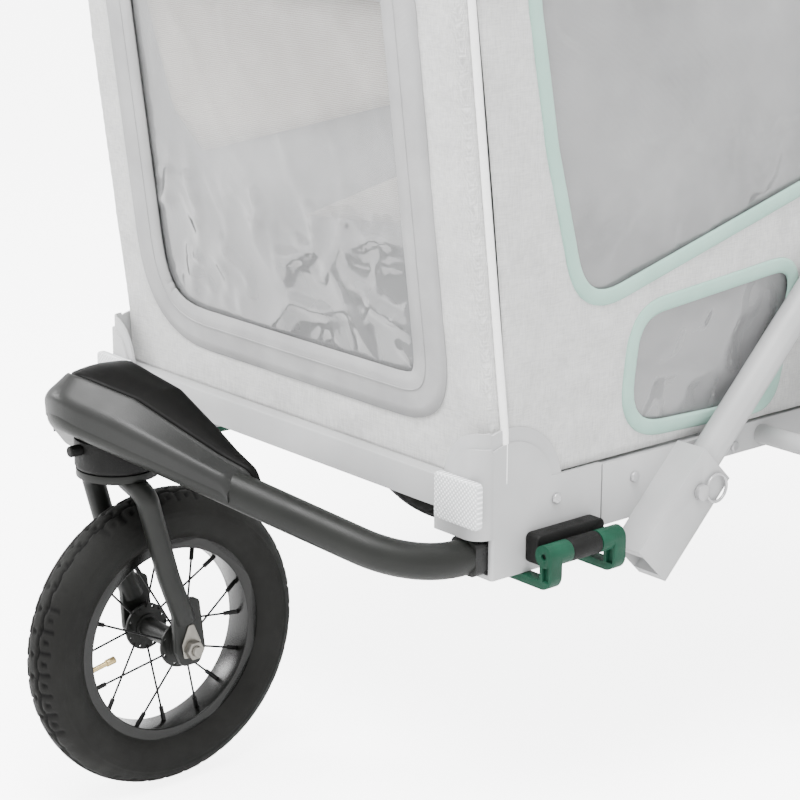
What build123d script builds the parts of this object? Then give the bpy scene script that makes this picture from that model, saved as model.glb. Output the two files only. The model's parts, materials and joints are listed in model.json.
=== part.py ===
from build123d import *
from math import cos, radians, sin, sqrt, tan
import os

# Child bicycle trailer in pushchair form: a cabin on two spoked wheels, with a swivelling
# front wheel on a V-shaped arm that plugs into both front corners of the base frame.
#
# Axes: X across (positive is the trailer's left), Y along (negative is forward), Z up.
# The origin is on the ground, midway along and across the whole object. Sizes are millimetres.

# ---------------------------------------------------------------- base frame
body_width = 610.0          # over the outer faces of the corner brackets
base_length = 920.0         # front face of the front bar to rear face of the rear bar
front_face_y = -299.0       # before the whole object is centred on the origin
rail_height = 30.0
rail_width = 20.0
rail_top_z = 342.0
cross_bar_depth = 25.0
cross_bar_height = 32.0
frame_wall = 2.0
bracket_wall = 5.0
bracket_lip = 4.0
bracket_length = 160.0
bracket_corner_radius = 18.0
bracket_arch_radius = 67.0
bracket_arch_rise = 57.0
bracket_step = 2.0          # rim of each arch, set back from the plate
floor_thickness = 4.0
bolt_radius = 5.5
bolt_head_height = 3.5

# ---------------------------------------------------------------- front wheel and fork
front_tyre_radius = 152.5
front_tyre_width = 54.0
front_rim_radius = 108.0
front_rim_width = 34.0
front_axle_setback = 104.4   # wheel axle behind the apex of the arm
front_spokes = 16
front_hub_half = 38.0
front_flange_radius = 24.0
front_flange_x = 30.0
front_axle_radius = 5.0
fork_trail = 47.0           # steering axis ahead of the wheel axle
fork_leg_radius = 11.0
fork_leg_x = 47.0
dropout_thickness = 6.0
dropout_x = 45.0
nut_height = 8.0
nut_across = 17.0

# ---------------------------------------------------------------- swivel head
head_radius = 41.0
head_bottom_z = 339.0
head_height = 30.0
swivel_disc_height = 7.0
stem_radius = 10.0
neck_radius = 37.0
knob_radius = 5.5
knob_stem_radius = 3.0
knob_travel = 8.0

# ---------------------------------------------------------------- arm
arm_radius = 17.3
arm_wall = 2.5
arm_sweep = 34.15           # degrees, each side of the V against the X axis
arm_apex_z = 402.0
arm_corner_y = -359.0
arm_corner_radius = 102.0
arm_nose_radius = 32.0
arm_end_z = 278.5
arm_square_end = 20.0       # length of the squared end in front of the bracket
spigot_length = 130.0
arm_side_gap = 0.5          # arm tube to the inner face of the corner bracket
receiver_clearance = 0.3
cover_flare = 15.0          # lip of the cover outboard of the tube's centre line
cover_rise = 21.0           # crease of the cover above the top of the tube
cover_half_width = 148.0
cover_crown = 5.0
cover_wall = 3.0

# ---------------------------------------------------------------- latch on each receiver
latch_axis_gap = 29.0       # pivot axis outboard of the bracket's outer face
latch_axis_z = 280.0
latch_front_y = -247.0
latch_length = 98.0
latch_knuckle_radius = 11.0
latch_pin_radius = 3.0
latch_leg_width = 14.0
latch_drop = 9.0            # underside of the foot below the bracket
latch_foot_reach = 62.0

# ---------------------------------------------------------------- rear wheels
rear_tyre_radius = 250.0
rear_tyre_width = 47.0
rear_rim_radius = 210.0
rear_rim_width = 30.0
rear_axle_y = 350.0
rear_wheel_gap = 72.0         # side face of the body to the middle of the wheel
rear_spokes = 20
rear_hub_half = 36.0
rear_flange_radius = 27.0
rear_flange_x = 26.0
rear_axle_radius = 6.0
button_radius = 9.0
button_travel = 4.0

# ---------------------------------------------------------------- cage, struts and guards
hoop_radius = 11.0
front_hoop_inset = 23.0
rear_hoop_inset = 44.0      # deeper, so that it nests inside the front hoop when folded
front_hoop_y = -256.0
front_hoop_top_y = -304.0
rear_knee_z = 480.0
hoop_pivot_height = 18.0    # pivot axis above the rails
hoop_top_z = 838.0
hoop_corner_radius = 60.0
hinge_pin_radius = 4.0
hinge_ear_half = 10.0
strut_radius = 16.0
strut_gap = 18.0            # side face of the body to the middle of the strut
strut_foot_y = -94.0
strut_foot_z = 252.0
strut_length = 700.0
strut_angle = 45.0
socket_length = 124.0
socket_depth = 54.0
strut_pin_radius = 4.0
strut_pin_offset = 72.0     # along the strut from its foot
strut_pin_travel = 50.0
guard_radius = 10.0
guard_reach = 113.0         # side face of the body to the middle of the guard tube
guard_corner_radius = 55.0
guard_gap = 11.0            # tyre to guard, in front of and behind the wheel

# ---------------------------------------------------------------- push handle
handle_pivot_radius = 28.0
handle_tube_radius = 11.0
handle_reach = 205.0
handle_corner_radius = 70.0
handle_grip_radius = 16.0
handle_pin_radius = 5.0

# ---------------------------------------------------------------- cabin
fabric = 3.0
cabin_front_top_y = -340.0
cabin_roof_front_z = 905.0
cabin_roof_rear_z = 925.0
cabin_roof_rear_y = 430.0
cabin_shoulder_y = 520.0
cabin_shoulder_z = 870.0
cabin_corner_radius = 45.0
front_window_half_width = 228.0
front_window_bottom_z = 388.0
front_window_top_z = 812.0
window_corner_radius = 60.0

# ---------------------------------------------------------------- seat
seat_width = 490.0
seat_front_y = 30.0
seat_depth = 280.0
seat_height = 50.0
backrest_thickness = 36.0
backrest_length = 360.0
backrest_lean = 13.0
backrest_bar_radius = 6.0
strap_width = 26.0

# ---------------------------------------------------------------- brake and flag socket
brake_shaft_radius = 6.0
brake_y = 432.0
brake_z = 268.0
pedal_x = 150.0
running_gap = 0.05
flag_bore_radius = 4.5
flag_tube_radius = 9.0
flag_tube_length = 70.0
flag_x = -200.0

# ---------------------------------------------------------------- values that follow
side_x = body_width / 2
rear_wheel_x = side_x + rear_wheel_gap
front_hoop_x = side_x - front_hoop_inset
rear_hoop_x = side_x - rear_hoop_inset
strut_x = side_x + strut_gap
guard_x = side_x + guard_reach
rail_x = side_x - bracket_wall - rail_width / 2
rear_face_y = front_face_y + base_length
cross_bar_z = rail_top_z + 7 - cross_bar_height / 2
cross_bar_end_x = rail_x - rail_width / 2
hoop_pivot_z = rail_top_z + hoop_pivot_height
rear_hoop_y = rear_face_y - 38
rear_hoop_top_y = cabin_shoulder_y - 31
head_top_z = head_bottom_z + head_height
arm_end_x = side_x - bracket_wall - arm_side_gap - arm_radius
receiver_inner = 2 * (arm_radius + arm_side_gap - frame_wall)
spigot_size = receiver_inner - 2 * receiver_clearance
arm_fall = (arm_apex_z - arm_end_z) / arm_end_x
arm_apex_y = arm_corner_y - arm_end_x * tan(radians(arm_sweep))
front_axle_y = arm_apex_y + front_axle_setback
steer_y = front_axle_y - fork_trail
lower_front_y = front_face_y + 14
receiver_front_y = lower_front_y + bracket_wall + 0.5
bracket_bottom_z = arm_end_z - arm_radius - arm_side_gap - bracket_lip - receiver_clearance
latch_x = side_x + latch_axis_gap
strut_dir = Vector(0, cos(radians(strut_angle)), sin(radians(strut_angle)))
strut_foot = Vector(strut_x, strut_foot_y, strut_foot_z)
handle_pivot = strut_foot + strut_dir * (strut_length + 62)
flag_y = rear_face_y + flag_tube_radius + 1
front_extent = front_axle_y - front_tyre_radius
rear_extent = flag_y + flag_tube_radius
centring = -(front_extent + rear_extent) / 2
sides = (("left", 1), ("right", -1))

parts = {}


def keep(name, shape):
    """Store one sub-part, moved so that the whole object is centred on the origin."""
    parts[name] = Pos(0, centring, 0) * shape


def group(shapes):
    """Several separate solids as one sub-part."""
    return Compound([solid for shape in shapes for solid in shape.solids()])


def mirrored(shape):
    return mirror(shape, Plane.YZ)


def rod(start, end, radius, bore=0.0):
    """Straight round bar or tube from one point to another."""
    start, end = Vector(*start), Vector(*end)
    plane = Plane(origin=start, z_dir=(end - start).normalized())
    section = Circle(radius) - Circle(bore) if bore else Circle(radius)
    return extrude(plane * section, amount=(end - start).length)


def bent_tube(points, radii, radius, wall=0.0):
    """Round tube along straight runs joined by arcs."""
    path = FilletPolyline(*points, radius=radii)
    section = Circle(radius) - Circle(radius - wall) if wall else Circle(radius)
    plane = Plane(origin=path @ 0, z_dir=path % 0)
    return sweep(plane * section, path=path)


def block(x0, x1, y0, y1, z0, z1):
    """Box between two corners."""
    centre = Pos((x0 + x1) / 2, (y0 + y1) / 2, (z0 + z1) / 2)
    return centre * Box(abs(x1 - x0), abs(y1 - y0), abs(z1 - z0))


def x_cylinder(x0, x1, y, z, radius):
    return rod((x0, y, z), (x1, y, z), radius)


def side_outline(points, radius=0.0):
    """Face in the YZ plane from (y, z) points, with all its corners rounded."""
    face = make_face(Plane.YZ * Polyline(*[(y, z) for y, z in points], close=True))
    if radius:
        return fillet(face.vertices(), radius)
    return face


# ---------------------------------------------------------------- wheels


def tyre(radius, width, rim_radius, rim_width):
    """Hollow tyre around X with a mouth that the rim fills."""
    wall = 4.0
    centre_r = radius - width / 2
    ring = Pos(0, centre_r) * (Circle(width / 2) - Circle(width / 2 - wall))
    mouth = Pos(0, rim_radius / 2) * Rectangle(rim_width, rim_radius)
    return revolve(Plane.XZ * (ring - mouth), axis=Axis.X)


def rim(rim_radius, rim_width):
    """Channel rim: two side walls on a shallow well."""
    depth, wall = 15.0, 2.5
    channel = Pos(0, rim_radius - depth / 2) * Rectangle(rim_width, depth)
    hollow = Pos(0, rim_radius - (depth - wall) / 2) * Rectangle(
        rim_width - 2 * wall, depth - wall
    )
    return revolve(Plane.XZ * (channel - hollow), axis=Axis.X)


def spoke_set(count, rim_radius, flange_radius, flange_x):
    """Straight spokes with their nipples, alternately from the two flanges."""
    made = []
    seat_radius = rim_radius - 15.0
    for index in range(count):
        side = 1 if index % 2 else -1
        turn = 360.0 / count * index
        start = (side * (flange_x - 1.5), 0, flange_radius - 3)
        end = (side * 3.0, 0, seat_radius)
        direction = (Vector(*end) - Vector(*start)).normalized()
        nipple_start = Vector(*end) - direction * 14
        spoke = rod(start, nipple_start, 1.1)
        nipple = rod(nipple_start, end, 2.3)
        made.append(Rot(turn, 0, 0) * (spoke + nipple))
    return group(made)


def hub(half, flange_radius, flange_x, bore):
    barrel = x_cylinder(-half, half, 0, 0, flange_radius * 0.42)
    shape = barrel
    for side in (-1, 1):
        shape += x_cylinder(side * (flange_x - 1.4), side * (flange_x + 1.4), 0, 0, flange_radius)
        shape += x_cylinder(side * (flange_x - 4), side * half, 0, 0, flange_radius * 0.55)
    shape -= x_cylinder(-half - 1, half + 1, 0, 0, bore)
    for index in range(8):
        hole = rod((-half, 0, flange_radius - 3), (half, 0, flange_radius - 3), 1.3)
        shape -= Rot(45.0 * index + 22.5, 0, 0) * hole
    return shape


def front_wheel():
    place = Pos(0, front_axle_y, front_tyre_radius)
    keep("front_tyre", place * tyre(front_tyre_radius, front_tyre_width, front_rim_radius, front_rim_width))
    keep("front_rim", place * rim(front_rim_radius, front_rim_width))
    spokes = spoke_set(front_spokes, front_rim_radius, front_flange_radius, front_flange_x)
    keep("front_spokes", place * spokes)
    bore = front_axle_radius + running_gap
    keep("front_hub", place * hub(front_hub_half, front_flange_radius, front_flange_x, bore))
    valve_foot = front_rim_radius - 15.0
    stem = rod((0, 0, valve_foot), (0, 0, valve_foot - 24), 2.6)
    cap = rod((0, 0, valve_foot - 24), (0, 0, valve_foot - 34), 3.6)
    keep("front_valve", place * Rot(101.25, 0, 0) * (stem + cap))


def rear_wheel(name, sign):
    place = Pos(sign * rear_wheel_x, rear_axle_y, rear_tyre_radius)
    rubber = tyre(rear_tyre_radius, rear_tyre_width, rear_rim_radius, rear_rim_width)
    keep(f"rear_tyre_{name}", place * rubber)
    keep(f"rear_rim_{name}", place * rim(rear_rim_radius, rear_rim_width))
    spokes = spoke_set(rear_spokes, rear_rim_radius, rear_flange_radius, rear_flange_x)
    keep(f"rear_spokes_{name}", place * spokes)
    bore = rear_axle_radius + running_gap
    keep(f"rear_hub_{name}", place * hub(rear_hub_half, rear_flange_radius, rear_flange_x, bore))
    head_start = rear_hub_half + button_travel + 1
    head = x_cylinder(sign * head_start, sign * (head_start + 5), 0, 0, button_radius)
    stem = x_cylinder(sign * (rear_hub_half - 12), sign * head_start, 0, 0, rear_axle_radius)
    keep(f"release_button_{name}", place * (head + stem))


# ---------------------------------------------------------------- fork and swivel head


def fork():
    legs = []
    crown_z = head_bottom_z - swivel_disc_height - 0.5
    for _, sign in sides:
        path = [
            (sign * 20, steer_y - 3, crown_z - 1),
            (sign * fork_leg_x, steer_y, crown_z - 12),
            (sign * fork_leg_x, front_axle_y - 24, front_tyre_radius + 80),
            (sign * dropout_x, front_axle_y - 5, front_tyre_radius + 30),
        ]
        leg = bent_tube(path, [14.0, 60.0], fork_leg_radius)
        plate = side_outline(
            [
                (front_axle_y - 17, front_tyre_radius - 2),
                (front_axle_y - 10, front_tyre_radius - 17),
                (front_axle_y + 10, front_tyre_radius - 17),
                (front_axle_y + 17, front_tyre_radius - 2),
                (front_axle_y + 11, front_tyre_radius + 50),
                (front_axle_y - 20, front_tyre_radius + 56),
            ],
            6.0,
        )
        plate = extrude(plate, amount=dropout_thickness / 2, both=True)
        legs.append(leg + Pos(sign * dropout_x, 0, 0) * plate)
    crown = rod((0, steer_y, crown_z - 4), (0, steer_y, crown_z), 30.0)
    shape = legs[0] + legs[1] + crown
    shape -= block(-80, 80, steer_y - 80, steer_y + 80, crown_z, crown_z + 40)
    shape += rod((0, steer_y, crown_z), (0, steer_y, head_top_z - 5), stem_radius)
    shape -= x_cylinder(-90, 90, front_axle_y, front_tyre_radius, front_axle_radius)
    disc = rod((0, steer_y, crown_z), (0, steer_y, head_bottom_z - 0.4), head_radius - 1)
    disc -= rod((0, steer_y, crown_z), (0, steer_y, head_bottom_z), stem_radius)
    keep("fork", group([shape, disc]))


def front_axle():
    y, z = front_axle_y, front_tyre_radius
    reach = dropout_x + dropout_thickness / 2 + nut_height + 5
    axle = x_cylinder(-reach, reach, y, z, front_axle_radius)
    for _, sign in sides:
        spacer_end = dropout_x - dropout_thickness / 2
        axle += x_cylinder(sign * (front_hub_half + 0.3), sign * spacer_end, y, z, 8.5)
    keep("front_axle", axle)
    outer = dropout_x + dropout_thickness / 2
    nuts, washers = [], []
    for _, sign in sides:
        hexagon = RegularPolygon(nut_across / 2, 6, major_radius=False)
        nut = extrude(Plane.YZ * hexagon, amount=sign * nut_height)
        nut = Pos(sign * (outer + 1.5), y, z) * nut
        nuts.append(nut - x_cylinder(-90, 90, y, z, front_axle_radius))
        front_side = [(y - 3, z + 25), (y - 11, z + 6)]
        rear_side = [(y - 9, z - 9), (y + 9, z - 9), (y + 11, z + 6), (y + 3, z + 25)]
        tab = side_outline(rear_side + front_side, 2.5)
        tab = Pos(sign * outer, 0, 0) * extrude(tab, amount=sign * 1.5)
        washers.append(tab - x_cylinder(-90, 90, y, z, front_axle_radius))
    keep("front_axle_nuts", group(nuts + washers))


def swivel_head(arm_solid):
    body = rod((0, steer_y, head_bottom_z), (0, steer_y, head_top_z), head_radius)
    body = fillet(body.faces().sort_by(Axis.Z)[0].edges(), 4.0)
    body -= rod((0, steer_y, head_bottom_z), (0, steer_y, head_top_z - 4), stem_radius + running_gap)
    knob_z = head_top_z - knob_radius - 1.5
    bore_start = (0, steer_y - head_radius + 16, knob_z)
    bore_end = (0, steer_y - head_radius - 5, knob_z)
    body -= rod(bore_start, bore_end, knob_stem_radius + running_gap)
    keep("swivel_head", body - arm_solid)

    front = steer_y - head_radius
    knob = rod((0, front - 0.4, knob_z), (0, front - 13, knob_z), knob_radius)
    knob = fillet(knob.faces().sort_by(Axis.Y)[0].edges(), 2.0)
    knob += rod((0, front - 0.4, knob_z), (0, front + 14, knob_z), knob_stem_radius)
    keep("swivel_lock_knob", knob)

    plate_z = arm_z(arm_radius) - 8
    neck = rod((0, steer_y, head_top_z), (0, steer_y, plate_z + 4), neck_radius, neck_radius - 6)
    plate = rod((0, steer_y, plate_z - 4), (0, steer_y, plate_z + 4), neck_radius + 20)
    keep("head_bracket", plate + neck - arm_solid)


# ---------------------------------------------------------------- arm, spigots and cover


def arm_points():
    end_y = lower_front_y + bracket_wall
    return [
        (-arm_end_x, end_y, arm_end_z),
        (-arm_end_x, arm_corner_y, arm_end_z),
        (0, arm_apex_y, arm_apex_z),
        (arm_end_x, arm_corner_y, arm_end_z),
        (arm_end_x, end_y, arm_end_z),
    ]


def arm():
    """V tube with squared ends, and the spigots that slide into the receivers."""
    radii = [arm_corner_radius, arm_nose_radius, arm_corner_radius]
    tube = bent_tube(arm_points(), radii, arm_radius, arm_wall)
    start = lower_front_y + bracket_wall
    spigots = []
    for _, sign in sides:
        plane = Plane(origin=(sign * arm_end_x, start, arm_end_z), x_dir=(1, 0, 0), z_dir=(0, 1, 0))
        square = RectangleRounded(2 * arm_radius, 2 * arm_radius, arm_radius * 0.4)
        tube += extrude(plane * square, amount=-arm_square_end)
        spigots.append(extrude(plane * RectangleRounded(spigot_size, spigot_size, 5.0), amount=spigot_length))
    keep("arm_tube", tube)
    keep("arm_spigots", group(spigots))
    return bent_tube(arm_points(), radii, arm_radius + 0.2)


def arm_y(x):
    return arm_apex_y + abs(x) * tan(radians(arm_sweep))


def arm_z(x):
    return arm_apex_z - abs(x) * arm_fall


def cover_plan(inset):
    """Delta-shaped outline seen from above: a blunt nose and a wing along each side of the arm."""
    flare = cover_flare / cos(radians(arm_sweep))
    reach = cover_half_width
    tail_y = arm_y(reach) - flare
    points = [
        (12, arm_y(12) - flare),
        (reach, tail_y),
        (reach + 2, tail_y + 22),
        (reach - 24, tail_y + 34),
        (12, steer_y + 26),
    ]
    loop = points + [(-x, y) for x, y in reversed(points)]
    outline = fillet(make_face(Polyline(*loop, close=True)).vertices(), 5.0)
    return offset(outline, amount=-inset, kind=Kind.INTERSECTION) if inset else outline


def cover_band(low, high, inset):
    """Solid over the plan outline, between two roof lines given as (x, z) from the middle out."""
    loop = [(-x, z) for x, z in reversed(low)] + low + list(reversed(high)) + [(-x, z) for x, z in high]
    band = extrude(Plane.XZ * make_face(Polyline(*loop, close=True)), amount=900, both=True)
    return band & extrude(Plane.XY * cover_plan(inset), amount=900)


def cover(arm_solid):
    """Two-piece shell over the nose of the arm: a flank ring below and a lid on top."""
    reach = cover_half_width + 10

    def roof_line(lift, tail_lift):
        stations = ((0.5, lift - 4), (52, lift), (reach, tail_lift))
        return [(x, arm_z(x) + arm_radius + rise) for x, rise in stations]

    crease = roof_line(cover_rise, 6)
    foot = [(x, arm_z(x) + arm_radius - 7) for x in (0.5, reach)]
    hollow = [(x, z - 20) for x, z in foot]
    flank = cover_band(foot, crease, 0) - cover_band(hollow, roof_line(60, 60), cover_wall)
    keep("cover_flank", flank - arm_solid)
    seat = [(x, z + 0.2) for x, z in crease]
    lid = cover_band(seat, [(x, z + cover_crown) for x, z in crease], 0)
    lid -= cover_band(hollow, [(x, z + cover_crown - cover_wall) for x, z in crease], 2 * cover_wall)
    keep("cover_lid", lid - arm_solid)


# ---------------------------------------------------------------- latches


def latches():
    blocks, pins = [], []
    front, rear = latch_front_y, latch_front_y + latch_length
    knuckle_start, knuckle_end = front + 30, rear - 30
    block_shape = block(side_x, side_x + 17, front + 4, rear - 6, latch_axis_z - 14, latch_axis_z + 16)
    block_shape = fillet(block_shape.edges().filter_by(Axis.X), 6.0)
    web = block(side_x + 17, latch_x, knuckle_start, knuckle_end, latch_axis_z - 6, latch_axis_z + 6)
    barrel_start = (latch_x, knuckle_start, latch_axis_z)
    barrel_end = (latch_x, knuckle_end, latch_axis_z)
    barrel = rod(barrel_start, barrel_end, latch_knuckle_radius)
    bore = rod((latch_x, front - 5, latch_axis_z), (latch_x, rear + 5, latch_axis_z), latch_pin_radius)
    shape = block_shape + web + barrel - bore
    pin = rod((latch_x, front + 2, latch_axis_z), (latch_x, rear - 2, latch_axis_z), latch_pin_radius)
    blocks = [shape, mirrored(shape)]
    pins = [pin, mirrored(pin)]
    keep("latch_blocks", group(blocks + pins))

    inner, outer = latch_x - latch_foot_reach, latch_x + latch_knuckle_radius
    foot_z0, foot_z1 = bracket_bottom_z - latch_drop, bracket_bottom_z - 1
    leg_face = Plane.XZ * make_face(
        Polyline((inner, foot_z0), (outer, foot_z0), (outer, latch_axis_z), (outer - 16, latch_axis_z),
                 (outer - 16, foot_z1), (inner, foot_z1), close=True)
    )
    heel = leg_face.vertices().sort_by_distance((outer, 0, foot_z0))[0]
    leg_face = fillet(heel, 14.0)
    pocket = Plane.XZ * (Pos(outer - 8, (latch_axis_z + foot_z0) / 2) * Rectangle(8, 16))
    lever = None
    for y0, y1, leg0 in (
        (front, knuckle_start - 0.4, front),
        (knuckle_end + 0.4, rear, rear - latch_leg_width),
    ):
        boss = rod((latch_x, y0, latch_axis_z), (latch_x, y1, latch_axis_z), latch_knuckle_radius)
        leg = Pos(0, leg0, 0) * (extrude(leg_face, amount=-latch_leg_width) - extrude(pocket, amount=-4))
        lever = boss + leg if lever is None else lever + boss + leg
    lever += block(inner, inner + 12, front, rear, foot_z0, foot_z1)
    bore_start = (latch_x, front - 5, latch_axis_z)
    bore_end = (latch_x, rear + 5, latch_axis_z)
    lever -= rod(bore_start, bore_end, latch_pin_radius + running_gap)
    for name, sign in sides:
        keep(f"latch_lever_{name}", lever if sign > 0 else mirrored(lever))


# ---------------------------------------------------------------- base frame


def corner_wall(reach, front, z0, z1, radius):
    """Front wall and side wall of a corner in plan, joined by a rounded vertical edge."""
    rear = front_face_y - bracket_wall + bracket_length
    outer = block(side_x - reach, side_x, front, rear, z0, z1)
    inner = block(side_x - reach - 1, side_x - bracket_wall, front + bracket_wall, rear + 1, z0, z1)
    corner = outer.edges().filter_by(Axis.Z).sort_by_distance((side_x, front, z0))[0]
    bend = inner.edges().filter_by(Axis.Z).sort_by_distance((side_x, front, z0))[0]
    return fillet(corner, radius) - fillet(bend, max(radius - bracket_wall, 0.5))


def arch_wall(radius, rise, depth):
    """The corner's two arches above the rails, one in each wall, set back by depth."""
    top = rail_top_z + 2
    far = 200.0
    zone = block(side_x - far, side_x + far, front_face_y - far, front_face_y + far, top, top + far)
    tall = corner_wall(70.0, front_face_y - bracket_wall, top - 10, top + rise, bracket_corner_radius)
    inset = tall & (Pos(-depth, depth, 0) * tall) if depth else tall
    side_y = front_face_y + 37
    side = x_cylinder(side_x - 20, side_x + 20, side_y, top - 10, radius)
    side += block(side_x - 20, side_x + 20, front_face_y - 20, front_face_y + 20, top, top + rise - 5)
    profile = Plane.XZ * (Pos(side_x - 8, top - 1) * Ellipse(radius * 0.63, rise))
    front = Pos(0, front_face_y + 15, 0) * extrude(profile, amount=30, both=False)
    front_zone = block(side_x - far, side_x + far, front_face_y - 20, front_face_y + 13, top, top + far)
    side_zone = block(side_x - far, side_x + far, front_face_y + 13, front_face_y + far, top, top + far)
    return inset & zone & ((front & front_zone) + (side & side_zone))


def corner_bracket():
    """Moulded corner: upper wall around both bars, recessed lower wall that the arm enters."""
    split_z = arm_end_z + arm_radius + 2
    upper = corner_wall(60.0, front_face_y - bracket_wall, split_z, rail_top_z + 2, bracket_corner_radius)
    lower = corner_wall(50.0, lower_front_y, bracket_bottom_z, split_z, 3.0)
    half = arm_radius + receiver_clearance
    mouth_y = lower_front_y - 1
    mouth_x = (arm_end_x - half, arm_end_x + half)
    lower -= block(*mouth_x, mouth_y, mouth_y + 12, arm_end_z - half, arm_end_z + half)
    inner_x = side_x - bracket_wall
    shelf_y = (front_face_y - bracket_wall + 8, lower_front_y + 6)
    shelf = block(side_x - 45, inner_x, *shelf_y, split_z, split_z + 3)
    lip_y = (lower_front_y, front_face_y + 155)
    floor_lip = block(side_x - 39, inner_x, *lip_y, bracket_bottom_z, bracket_bottom_z + bracket_lip)
    rim = arch_wall(bracket_arch_radius, bracket_arch_rise, bracket_step)
    plate = arch_wall(bracket_arch_radius - 14, bracket_arch_rise - 14, 0)
    return upper + lower + shelf + floor_lip + rim + plate


def base_frame():
    inner_x = side_x - bracket_wall
    span = 2 * cross_bar_end_x
    bar = Box(span, cross_bar_depth, cross_bar_height)
    bar -= Box(span, cross_bar_depth - 2 * frame_wall, cross_bar_height - 2 * frame_wall)
    front_bar = Pos(0, front_face_y + cross_bar_depth / 2, cross_bar_z) * bar
    rear_bar = Pos(0, rear_face_y - cross_bar_depth / 2, cross_bar_z) * bar

    rail_front_y = front_face_y + bracket_corner_radius - bracket_wall
    rail_length = rear_face_y - rail_front_y
    rail = Box(rail_width, rail_length, rail_height)
    rail -= Box(rail_width - 2 * frame_wall, rail_length, rail_height - 2 * frame_wall)
    rail = Pos(rail_x, rail_front_y + rail_length / 2, rail_top_z - rail_height / 2) * rail
    keep("base_rails", group([front_bar, rear_bar, rail, mirrored(rail)]))

    floor_half = rail_x - rail_width / 2
    floor_y = (front_face_y + cross_bar_depth, rear_face_y - cross_bar_depth)
    floor = block(-floor_half, floor_half, *floor_y, rail_top_z - floor_thickness, rail_top_z)
    keep("floor_tray", floor)

    bracket = corner_bracket()
    keep("corner_brackets", group([bracket, mirrored(bracket)]))

    outer = receiver_inner + 2 * frame_wall
    receiver_length = spigot_length + 6
    receiver = Box(outer, receiver_length, outer) - Box(receiver_inner, receiver_length, receiver_inner)
    receiver = Pos(arm_end_x, receiver_front_y + receiver_length / 2, arm_end_z) * receiver
    keep("arm_receivers", group([receiver, mirrored(receiver)]))


def bolts():
    made = []
    head_z = rail_top_z - 21
    plated = (front_face_y + 95, front_face_y + 200)
    for y in plated + (front_face_y + 350, rear_axle_y - 60, rear_axle_y + 120):
        outer = side_x if y in plated else side_x - bracket_wall
        head = x_cylinder(outer, outer + bolt_head_height, y, head_z, bolt_radius)
        head = fillet(head.faces().sort_by(Axis.X)[-1].edges(), 2.0)
        made += [head, mirrored(head)]
    keep("frame_bolts", group(made))


def reflectors():
    made = []
    outer, inner = side_x + 8, side_x - 52
    z0, z1 = rail_top_z - 29, rail_top_z + 16
    front = front_face_y - bracket_wall
    lens = block(inner, outer, front - 8, front, z0, z1)
    lens = fillet(lens.edges().filter_by(Axis.Y), 5.0)
    made = [lens, mirrored(lens)]
    keep("front_reflectors", group(made))
    rear = block(side_x - 70, side_x - 10, rear_face_y, rear_face_y + 8, cross_bar_z - 14, cross_bar_z + 14)
    rear = fillet(rear.edges().filter_by(Axis.Y), 5.0)
    keep("rear_reflectors", group([rear, mirrored(rear)]))


def axle_and_brake():
    inner_x = side_x - bracket_wall
    y, z = rear_axle_y, rear_tyre_radius
    beam = rod((-inner_x + 14, y, z), (inner_x - 14, y, z), 15.0, 13.0)
    drops = []
    for sign in (1, -1):
        plate_top = rail_top_z - rail_height
        plate_edge = [(y - 34, plate_top), (y - 22, z - 20), (y + 22, z - 20), (y + 34, plate_top)]
        plate = side_outline(plate_edge, 8.0)
        plate = Pos(sign * (inner_x - 7), 0, 0) * extrude(plate, amount=7, both=True)
        collar = x_cylinder(sign * inner_x, sign * (rear_wheel_x - rear_hub_half - 2), y, z, 13.0)
        stub_end = rear_wheel_x + rear_hub_half - 18
        stub = x_cylinder(sign * (inner_x - 14), sign * stub_end, y, z, rear_axle_radius)
        drops.append(plate + collar + stub)
    ears = []
    for x in (-250.0, 250.0):
        ear = block(x - 3, x + 3, brake_y - 16, brake_y + 16, brake_z - 14, rail_top_z - floor_thickness)
        ear = fillet(ear.edges().filter_by(Axis.X).sort_by(Axis.Z)[0:2], 8.0)
        ears.append(ear - x_cylinder(-300, 300, brake_y, brake_z, brake_shaft_radius + running_gap))
    keep("rear_axle", group([beam] + drops + ears))

    shaft = x_cylinder(-262, 262, brake_y, brake_z, brake_shaft_radius)
    stem = block(pedal_x - 11, pedal_x + 11, brake_y, brake_y + 150, brake_z - 5, brake_z + 5)
    pad = block(pedal_x - 34, pedal_x + 34, brake_y + 148, brake_y + 202, brake_z - 6, brake_z + 6)
    pad = fillet(pad.edges().filter_by(Axis.Z), 12.0)
    hub_ring = x_cylinder(pedal_x - 14, pedal_x + 14, brake_y, brake_z, 12.0)
    keep("brake_pedal", shaft + stem + pad + hub_ring)


def flag_socket():
    z0 = cross_bar_z - cross_bar_height / 2
    tube = rod((flag_x, flag_y, z0), (flag_x, flag_y, z0 + flag_tube_length), flag_tube_radius)
    tube += block(flag_x - 8, flag_x + 8, rear_face_y, flag_y, z0 + 3, z0 + cross_bar_height - 4)
    tube -= rod((flag_x, flag_y, z0 + 4), (flag_x, flag_y, z0 + flag_tube_length), flag_bore_radius)
    keep("flag_socket", tube)


# ---------------------------------------------------------------- cage, struts and guards


def hoop(x, foot_y, shape):
    """Inverted-U tube whose feet turn on cross pins, given as (y, z) points up one leg."""
    leg = [(x, y, z) for y, z in shape]
    path = leg + [(-px, y, z) for px, y, z in reversed(leg)]
    radii = [hoop_corner_radius] * (len(path) - 2)
    tube = bent_tube(path, radii, hoop_radius, 1.5)
    for sign in (1, -1):
        foot_x = (sign * (x - hoop_radius), sign * (x + hoop_radius))
        tube += x_cylinder(*foot_x, foot_y, hoop_pivot_z, hoop_radius)
    return tube - x_cylinder(-x - 60, x + 60, foot_y, hoop_pivot_z, hinge_pin_radius + running_gap)


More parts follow.
